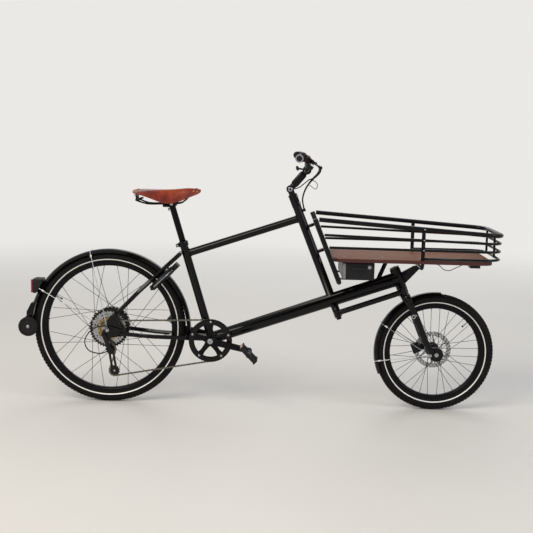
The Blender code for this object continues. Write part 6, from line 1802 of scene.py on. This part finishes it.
@dataclass
class Cockpit:
    """Stem, handlebar, grips, brake levers, shifter, hoses and cables."""

    grip: float = 0.0152
    rib: float = 0.0164
    rib_pitch: float = 0.0052
    ribs: int = 17
    ring_inner: float = 0.0112
    hose: float = 0.0031
    branch: float = 0.0022
    wire: float = 0.0018
    gland: tuple[float, float, float] = (0.1905, 0.0, 0.8518)

    def build(self) -> None:
        """Models and dresses the cockpit."""
        self.stem()
        dress_cad("handlebar", SATIN_PAINT, Body.STEM, Slot.GLOSS_BLACK, smooth=50)
        for sign in (-1, 1):
            self.ribbed_grip(sign)
            self.lever(sign)
        self.shifter()
        self.lines()

    def stem(self) -> None:
        """The stem's base on the steering shaft, its tilting arm and their bolts."""
        dress_cad("steering_shaft", GLOSS_PAINT, Body.COLUMN, Slot.GLOSS_BLACK, 0.0005, 1)
        dress_cad("stem_base", GLOSS_PAINT, Body.COLUMN, Slot.GLOSS_BLACK, 0.0012)
        along, reach = (BAR_CENTRE - STEM_PIVOT).normalized(), (BAR_CENTRE - STEM_PIVOT).length
        sleeve = slab(
            STEM_PIVOT + (reach / 2 + 0.002) * along, (reach - 0.04, 0.031, 0.0325), along, 0.0075, 4
        )
        dress_cad("stem_arm", GLOSS_PAINT, Body.STEM, Slot.GLOSS_BLACK, 0.0012, extra=[sleeve])
        collar = [(0.0036, 0.0), (0.0095, 0.0), (0.0095, 0.0012), (0.008, 0.0022), (0.0036, 0.0018)]
        pivots, clamps = [], []
        for sign in (-1, 1):
            out = sign * SIDE
            face = STEM_PIVOT + 0.0199 * out
            pivots += [lathed(collar, face, out, 40), button_bolt(face, out, 0.0034, 0.0012)]
        for height in (0.493, 0.523):
            clamps.append(button_bolt(on_column(height, 0.0186, -0.006), STEER_FORWARD, 0.0034, 0.0026))
            clamps.append(slab(on_column(height, 0.017), (0.006, 0.03, 0.0105), STEER_FORWARD, 0.0015))
        places = [BAR_CENTRE + 0.0183 * along + sign * 0.013 * SIDE for sign in (-1, 1)]
        heads = [button_bolt(place, along, 0.0034, 0.0022) for place in places]
        dress(pivots, "stem pivot bolt", ALUMINIUM, Body.COLUMN, Slot.ALUMINIUM)
        dress(clamps, "stem clamp bolts", STEEL, Body.COLUMN, Slot.STEEL)
        dress(heads, "bar clamp bolts", STEEL, Body.STEM, Slot.STEEL)

    def ribbed_grip(self, sign: int) -> None:
        """A ribbed grip between two clamp rings, with a plug in the bar's end."""
        side = "right" if sign < 0 else "left"
        shapes = [tube([bar_point(sign * (0.196 + 0.006 * step)) for step in range(19)], self.grip, 14)]
        rib = mirrored([(self.rib - 0.0016, -0.0016), (self.rib - 0.0004, -0.0011), (self.rib, 0.0)])
        for step in range(self.ribs):
            at = sign * (0.213 + self.rib_pitch * step)
            shapes.append(lathed(rib, bar_point(at), bar_run(at), 32))
        dress(shapes, f"{side} grip", RUBBER, Body.STEM, Slot.RUBBER, f"{side}_grip")
        edge = [(self.ring_inner, -0.003), (self.rib - 0.0007, -0.003), (self.rib, -0.002)]
        end, start = bar_point(sign * 0.3035), sign * 0.204
        outer = lathed(mirrored(edge), end + sign * 0.0045 * SIDE, SIDE, 48)
        dress(outer, f"{side} grip end ring", ALUMINIUM, Body.STEM, Slot.ALUMINIUM, smooth=30)
        inner = lathed(mirrored(edge), bar_point(start), bar_run(start), 48)
        dress(inner, f"{side} grip inner ring", RED_ANODISED, Body.STEM, Slot.ALUMINIUM, smooth=30)
        cap = [(0.0, 0.0), (0.0108, 0.0), (0.0108, 0.0005), (0.007, 0.001), (0.0, 0.0012)]
        plug = lathed(cap, Vector((end.x, sign * 0.3118, end.z)), sign * SIDE, 32)
        dress(plug, f"{side} bar end plug", PLASTIC, Body.STEM, Slot.BLACK_PLASTIC)

    def lever(self, sign: int) -> None:
        """The brake lever's mount with its reservoir lid and clamp bolt, and the curved blade."""
        side, out = ("right" if sign < 0 else "left"), sign * SIDE
        seat = bar_point(sign * 0.178)
        middle, hinge = seat + 0.024 * LEVER_OUT - 0.01 * out, seat + 0.034 * LEVER_OUT
        lid = slab(middle + 0.0088 * LEVER_AXIS, (0.026, 0.04, 0.0026), LEVER_OUT)
        dress_cad(f"{side}_lever_mount", SATIN_PAINT, Body.STEM, Slot.GLOSS_BLACK, 0.0016, extra=[lid])
        bolts = [button_bolt(hinge + 0.0079 * LEVER_AXIS, LEVER_AXIS, 0.0034, 0.0012)]
        for step in (-0.013, 0.013):
            bolts.append(button_bolt(middle + step * SIDE + 0.01 * LEVER_AXIS, LEVER_AXIS, 0.0017, 0.0008))
        bolts.append(button_bolt(seat - 0.0152 * LEVER_OUT, -LEVER_OUT, 0.003, 0.002))
        dress(bolts, f"{side} lever bolts", STEEL, Body.STEM, Slot.STEEL)
        bend = hinge + 0.03 * LEVER_OUT + 0.03 * out
        tip = hinge + 0.036 * LEVER_OUT + 0.11 * out
        way = (tip - bend).normalized()
        face = slab(bend.lerp(tip, 0.53), (0.066, 0.009, 0.0128), way, 0.0034, 3)
        knob = bar(tip - 0.004 * way, tip + 0.0026 * way, 0.0064, 24, 0.0026)
        body = Body.RIGHT_LEVER if sign < 0 else Body.LEFT_LEVER
        dress_cad(f"{side}_brake_lever", ANODISED, body, Slot.ALUMINIUM, 0.0006, extra=[face, knob])

    def shifter(self) -> None:
        """The gear shifter's case with its screw, and the thumb lever with its finger and round paddle."""
        dress_cad("shifter", PLASTIC, Body.STEM, Slot.BLACK_PLASTIC, 0.0014, name="shifter case")
        low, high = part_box("shifter")
        middle = (low + high) / 2
        screw = button_bolt(Vector((middle.x + 0.004, middle.y, high.z - 0.004)), LEVER_AXIS, 0.0028, 0.001)
        dress(screw, "shifter screw", STEEL, Body.STEM, Slot.STEEL)
        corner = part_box("thumb_lever")[0]
        end = corner + Vector((-0.0135, 0.006, 0.0085))
        finger = tube([corner + Vector((0.01, 0.006, 0.0046)), end], 0.0036)
        pad = mirrored([(0.0, -0.0044), (0.008, -0.003), (0.0108, 0.0)])
        paddle = lathed(pad, end, Vector((0.85, 0.5, 0.2)), 28)
        dress_cad("thumb_lever", PLASTIC, Body.THUMB, Slot.BLACK_PLASTIC, 0.0006, extra=[finger, paddle])

    def lines(self) -> None:
        """The brake hoses with their gland and branch, the gear cable, and the thin wire loop by the stem."""
        shapes = [slab(Vector(self.gland), (0.0125, 0.02, 0.012), STEER_FORWARD, 0.0022)]
        for sign in (-1, 1):
            route = [
                (0.212, 0.1525, 1.0595), (0.226, 0.135, 1.054), (0.255, 0.085, 1.03), (0.248, 0.05, 1.008),
                (0.2225, 0.024, 0.984), (0.201, 0.012, 0.956), (0.187, 0.008, 0.926), (0.181, 0.006, 0.896),
                (0.185, 0.005, 0.874), (0.1905, 0.005, 0.8518)
            ]
            first, second, *others = [Vector((x, sign * y, z)) for x, y, z in route]
            shapes.append(tube(bent([first, second, *others], 0.05, 6), self.hose, 5))
            shapes.append(bar(first, first.lerp(second, 0.5), self.hose + 0.0009, 12, 0.0005))
        branch = [
            (0.2225, 0.024, 0.984), (0.208, 0.02, 0.98), (0.185, 0.012, 0.961), (0.168, 0.006, 0.946),
            (0.148, 0.0, 0.94)
        ]
        shapes.append(tube(bent(branch, 0.03, 6), self.branch, 3))
        hoses = dress(shapes, "brake hoses", RUBBER, None, Slot.RUBBER, "brake_hoses", smooth=50)
        dress_cad("gear_cable", RUBBER, Body.FRAME, Slot.RUBBER, smooth=50)
        loop = [
            (0.2185, -0.0205, 0.98), (0.229, -0.021, 0.9765), (0.239, -0.022, 0.97),
            (0.2445, -0.022, 0.956), (0.237, -0.0215, 0.941), (0.226, -0.02, 0.946), (0.212, -0.018, 0.957),
            (0.203, -0.015, 0.96)
        ]
        wire = tube(bent(loop, 0.02, 6), self.wire, 2)
        dress(wire, "lamp switch wire", GREY_WIRE, None, Slot.RUBBER, smooth=50)
        for line in (hoses, wire):
            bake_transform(line)


@dataclass
class Seat:
    """Leather saddle with its rivets, rails and bag loops, on its post."""

    rear_x: float = -0.534
    length: float = 0.283
    width: float = 0.168
    nose: float = 0.04
    wall: float = 0.0045
    rail_height: float = 0.866
    loop: float = 0.0056
    loop_wire: float = 0.0015
    # Height of the crown and drop of the skirt, from the back to the nose
    profile: tuple[tuple[float, float], ...] = (
        (0.921, 0.008), (0.9256, 0.0228), (0.9258, 0.043), (0.926, 0.063), (0.929, 0.057), (0.9355, 0.04),
        (0.929, 0.016)
    )

    def build(self) -> None:
        """Models and dresses the seat."""
        tilt = turn_about(Vector((self.clamp_x(), 0.0, self.rail_height)), radians(-2.0))
        leather = self.leather()
        dress(leather, "saddle leather", LEATHER, Body.SEAT, Slot.LEATHER, "saddle_cover", smooth=60)
        frame = from_cad("saddle_frame")
        frame.data.transform(tilt)
        dress(frame, "saddle frame", SATIN_PAINT, Body.SEAT, Slot.SATIN_BLACK, "saddle_frame", smooth=50)
        dress_cad("seatpost", ANODISED, Body.SEAT, Slot.ALUMINIUM, 0.0006, 1)
        rivets = [self.rivet(leather, Vector((-0.516, 0.025 * step, 1.0)), -UP) for step in range(-2, 3)]
        rivets.append(self.rivet(leather, Vector((-0.268, 0.0, 1.0)), -UP))
        loops = []
        for sign in (-1, 1):
            for x, z in ((-0.279, 0.921), (-0.264, 0.92)):
                rivets.append(self.rivet(leather, Vector((x, sign * 0.2, z)), -sign * SIDE))
            turns = [step * pi / 5 for step in range(10)]
            wire = [(self.loop + self.loop_wire * cos(turn), self.loop_wire * sin(turn)) for turn in turns]
            loops.append(lathed(wire, Vector((-0.5225, sign * 0.03, 0.9005)), SIDE, 32))
            loops.append(slab(Vector((-0.5165, sign * 0.03, 0.909)), (0.01, 0.012, 0.006), FORWARD, 0.0012))
        dress(rivets, "saddle rivets", COPPER, Body.SEAT, Slot.LEATHER)
        dress(loops, "saddle bag loops", STEEL, Body.SEAT, Slot.SATIN_BLACK, smooth=50)
        self.cradle()

    def cradle(self) -> None:
        """The two-part clamp that holds the rails on the post, with its bolt and nuts."""
        x = self.clamp_x()
        parts = []
        for sign in (-1, 1):
            parts.append(
                slab(Vector((x - 0.002, sign * 0.022, 0.8725)), (0.044, 0.014, 0.005), FORWARD, 0.002)
            )
            parts.append(
                slab(Vector((x - 0.01, sign * 0.022, 0.8575)), (0.056, 0.015, 0.009), FORWARD, 0.0032)
            )
        parts.append(slab(Vector((x - 0.012, 0.0, 0.856)), (0.052, 0.04, 0.012), FORWARD, 0.004))
        dress(parts, "seat clamp cradle", ANODISED, Body.SEAT, Slot.ALUMINIUM)
        nuts = [
            hex_nut(Vector((x, sign * 0.0287, self.rail_height)), sign * SIDE, 0.008, 0.0045)
            for sign in (-1, 1)
        ]
        nuts.append(hex_nut(Vector((x - 0.011, 0.0, 0.84)), -FORWARD, 0.0065, 0.005))
        dress(nuts, "seat clamp nuts", STEEL, Body.SEAT, Slot.STEEL)

    def rivet(self, leather: Piece, start: Vector, way: Vector) -> Piece:
        """A domed rivet seated square on the leather where a line from start meets it."""
        _, place, normal, _ = leather.ray_cast(start, way)
        dome = [
            (0.0, 0.0026), (0.0028, 0.0022), (0.0048, 0.0011), (0.0056, 0.0), (0.0056, -0.0016),
            (0.0, -0.0016)
        ]
        return lathed(dome, place, normal, 24)

    def clamp_x(self) -> float:
        """Where the post's clamp sits under the rails."""
        return on_seat_tube((self.rail_height - 0.01 - BOTTOM_BRACKET.z) / SEAT_UP.z).x

    def leather(self) -> Piece:
        """The leather: wide and round behind, narrow at the nose, with deep side skirts and rolled edges."""
        stations, lanes = len(self.profile), 6
        points, faces = [], []
        for index, (crown, drop) in enumerate(self.profile):
            share = index / (stations - 1)
            spread = self.nose + (self.width - self.nose) * (1 - share) ** 1.35
            spread *= 0.8 if index == 0 else 1.0
            for lane in range(lanes + 1):
                across = lane / lanes * 2 - 1
                side = spread / 2 * (1.05 * across - 0.05 * across**7)
                points.append((self.rear_x + self.length * share, side, crown - drop * abs(across) ** 2.6))
        for index in range(stations - 1):
            for lane in range(lanes):
                near, far = index * (lanes + 1) + lane, (index + 1) * (lanes + 1) + lane
                faces.append((near, far, far + 1, near + 1))
        sheet = mesh_object(points, [], faces)
        with_modifier(sheet, "SUBSURF", levels=3, render_levels=3)
        with_modifier(sheet, "SOLIDIFY", thickness=self.wall, offset=-1.0)
        return eased(welded(sheet, FINE_WELD), 0.0012, 3, 50)


@dataclass
class CargoBay:
    """Plywood deck, basket rails with their hoop and bolts, bulkhead, battery and headlight."""

    deck_low: tuple[float, float, float] = (0.3075, -0.19, 0.655)
    deck_high: tuple[float, float, float] = (0.9675, 0.19, 0.67)
    corner: float = 0.055
    film: float = 0.0006
    screw_rows: tuple[float, ...] = (0.36, 0.52, 0.6775, 0.83, 0.925)
    screw_side: float = 0.115
    hoop_x: float = 0.6775
    battery_half: float = 0.17
    fins: int = 5
    fin_pitch: float = 0.0045
    wire: float = 0.0016

    def build(self) -> None:
        """Models and dresses the cargo bay."""
        rails = (
            "basket_top_rail", "basket_upper_rail", "basket_middle_rail", "basket_hoop", "bulkhead_frame"
        )
        for node in rails:
            dress_cad(node, GLOSS_PAINT, Body.FRAME, Slot.GLOSS_BLACK, smooth=50)
        self.deck()
        self.bolts()
        self.battery()
        self.headlight()

    def deck(self) -> None:
        """The deck's board with its film, its stained edge and its mounting bolts."""
        dress_cad("cargo_deck", DECK_FILM, Body.FRAME, Slot.PLYWOOD, 0.0009, smooth=35, name="deck board")
        (back, right, foot), (front, left, top) = self.deck_low, self.deck_high
        foot, head = foot + self.film, top - self.film
        points: list[Vector] = []
        for grow, height in ((0.0003, foot), (0.0003, head), (-0.0015, head), (-0.0015, foot)):
            outline = [(back - grow, right - grow), (front + grow, right - grow)]
            outline += [(front + grow, left + grow), (back - grow, left + grow)]
            points += bent([(x, y, height) for x, y in outline], self.corner + grow, closed=True)
        count, faces = len(points) // 4, []
        for level in range(4):
            for i in range(count):
                j, after = (i + 1) % count, (level + 1) % 4 * count
                faces.append((level * count + i, level * count + j, after + j, after + i))
        band = welded(mesh_object(points, [], faces), FINE_WELD)
        dress(band, "deck edge", DECK_EDGE, Body.FRAME, Slot.PLYWOOD, smooth=30)
        places = [
            Vector((x, sign * self.screw_side, top - 0.0002)) for x in self.screw_rows for sign in (-1, 1)
        ]
        screws = [button_bolt(place, UP, 0.005, 0.0014) for place in places]
        dress(screws, "deck screws", STEEL, Body.FRAME, Slot.STEEL)

    def bolts(self) -> None:
        """The bolts that hold the rails to the hoop and to the bulkhead."""
        heads = []
        for sign in (-1, 1):
            for z, radius in ((0.799, 0.0095), (0.754, 0.0055), (0.7127, 0.0055)):
                place = Vector((self.hoop_x, sign * (0.1935 + radius - 0.0003), z))
                heads.append(button_bolt(place, sign * SIDE, 0.0034, 0.0016))
        dress(heads, "basket bolts", STEEL, Body.FRAME, Slot.STEEL)

    def battery(self) -> None:
        """The battery's sealed case with its seams, its grey end strip and its lock."""
        low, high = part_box("battery")
        seams = []
        for share in (0.3, 0.62):
            z, wide = low.z + (high.z - low.z) * share, self.battery_half + 0.0003
            seams.append(
                block((low.x + 0.02, -wide, z - 0.0008), (high.x - 0.004, wide, z + 0.0008), 0.0003, 1)
            )
        dress_cad(
            "battery", PLASTIC, Body.BATTERY, Slot.BLACK_PLASTIC, 0.0035, 3, name="battery case",
            extra=seams
        )
        wide = self.battery_half + 0.0006
        strip = block((low.x - 0.0002, -wide, low.z + 0.003), (low.x + 0.012, wide, high.z - 0.003), 0.002)
        dress(strip, "battery end strip", GREY_PLASTIC, Body.BATTERY, Slot.BLACK_PLASTIC)
        barrel = [(0.0, 0.0), (0.0075, 0.0), (0.0075, 0.001), (0.0055, 0.0018), (0.0, 0.0012)]
        lock = lathed(barrel, Vector((high.x - 0.02, -self.battery_half, high.z - 0.018)), -SIDE, 32)
        dress(lock, "battery lock", STEEL, Body.BATTERY, Slot.BLACK_PLASTIC)

    def headlight(self) -> None:
        """The headlight's finned case, its lens, and its wire under the deck."""
        low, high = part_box("headlight")
        fins = []
        for step in range(self.fins):
            x = low.x + 0.006 + self.fin_pitch * step
            fins.append(block((x, -0.0264, low.z + 0.003), (x + 0.0016, 0.0264, low.z + 0.024), 0.0004, 1))
        dress_cad(
            "headlight", SATIN_PAINT, Body.FRAME, Slot.GLOSS_BLACK, 0.0025, 3, 35, "headlight case", fins
        )
        lens = block(
            (high.x - 0.0022, -0.0225, low.z + 0.0035), (high.x + 0.0006, 0.0225, low.z + 0.023), 0.0008, 2
        )
        dress(lens, "headlight lens", CLEAR, Body.FRAME, Slot.GLOSS_BLACK)
        route = [
            (0.706, 0.0, 0.64), (0.735, -0.006, 0.634), (0.768, -0.01, 0.636), (0.79, -0.012, 0.612),
            (0.815, -0.012, 0.607), (0.85, -0.008, 0.624), (0.88, -0.004, 0.638), (0.9035, 0.0, 0.641)
        ]
        wire = tube(bent(route, 0.03, 6), self.wire, 3)
        dress(wire, "headlight wire", RUBBER, Body.FRAME, Slot.GLOSS_BLACK, smooth=50)


LOOKS: dict[Slot, Finish] = {
    Slot.GLOSS_BLACK: GLOSS_PAINT, Slot.SATIN_BLACK: SATIN_PAINT, Slot.BLACK_PLASTIC: PLASTIC,
    Slot.RUBBER: RUBBER, Slot.TYRE: TYRE_RUBBER, Slot.STEEL: STEEL, Slot.ALUMINIUM: ALUMINIUM,
    Slot.LEATHER: LEATHER, Slot.PLYWOOD: DECK_FILM, Slot.RED_LENS: RED_LENS
}


def dress_cad_nodes(frame: dict[str, object]) -> None:
    """Gives the CAD nodes that no modelled piece stands for their finish and soft shading."""
    slots = {entry["node"]: entry["material_slot"] for entry in frame["record"]["subparts"]}
    for name, node in frame["nodes"].items():
        if node.hide_render:
            continue
        node.data.materials.clear()
        node.data.materials.append(LOOKS[Slot(slots[name])].material())
        select_only(node)
        bpy.ops.object.shade_smooth_by_angle(angle=radians(35))
        LOG.info("CAD node %s keeps its own shape", name)


def main() -> None:
    """Builds the studio and the bike, piece by piece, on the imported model."""
    logging.basicConfig(level=logging.INFO, format="%(message)s")
    bpy.ops.object.select_all(action="SELECT")
    bpy.ops.object.delete()
    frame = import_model()
    assemblies = (
        Wheel(
            "rear", Body.REAR_WHEEL, REAR_AXLE, 0.3265, 0.047, 0.2795, 0.0734, (-0.019, 0.03), 0.2947, 128,
            -151.0
        ),
        Wheel(
            "front", Body.FRONT_WHEEL, FRONT_AXLE, 0.253, 0.05, 0.203, 0.0238, (-0.03, 0.03), 0.218, 100,
            -44.0
        ),
        RearHub(), FrontHub(), Chain(), Cassette(), Crankset(), Derailleur(), MainFrame(),
        RearMudguard(
            "rear", Body.FRAME, REAR_AXLE - 0.011 * UP, 0.35, 0.062, (-6.0, 172.0), (104.0, 150.0),
            (104.0, 150.0), 0.02, 0.0765
        ),
        Mudguard(
            "front", Body.FORK, FRONT_AXLE, 0.2605, 0.06, (86.0, 203.0), (152.5, 189.5), (186.0, 186.0),
            0.0285, 0.0703
        ),
        TailEnd(), RingLock(), ForkSet(), Cockpit(), Seat(), CargoBay()
    )
    for assembly in assemblies:
        LOG.info("building %s", type(assembly).__name__)
        assembly.build()
    dress_cad_nodes(frame)
    PhotoCamera().build()
    Studio().build()


if __name__ == "__main__":
    main()
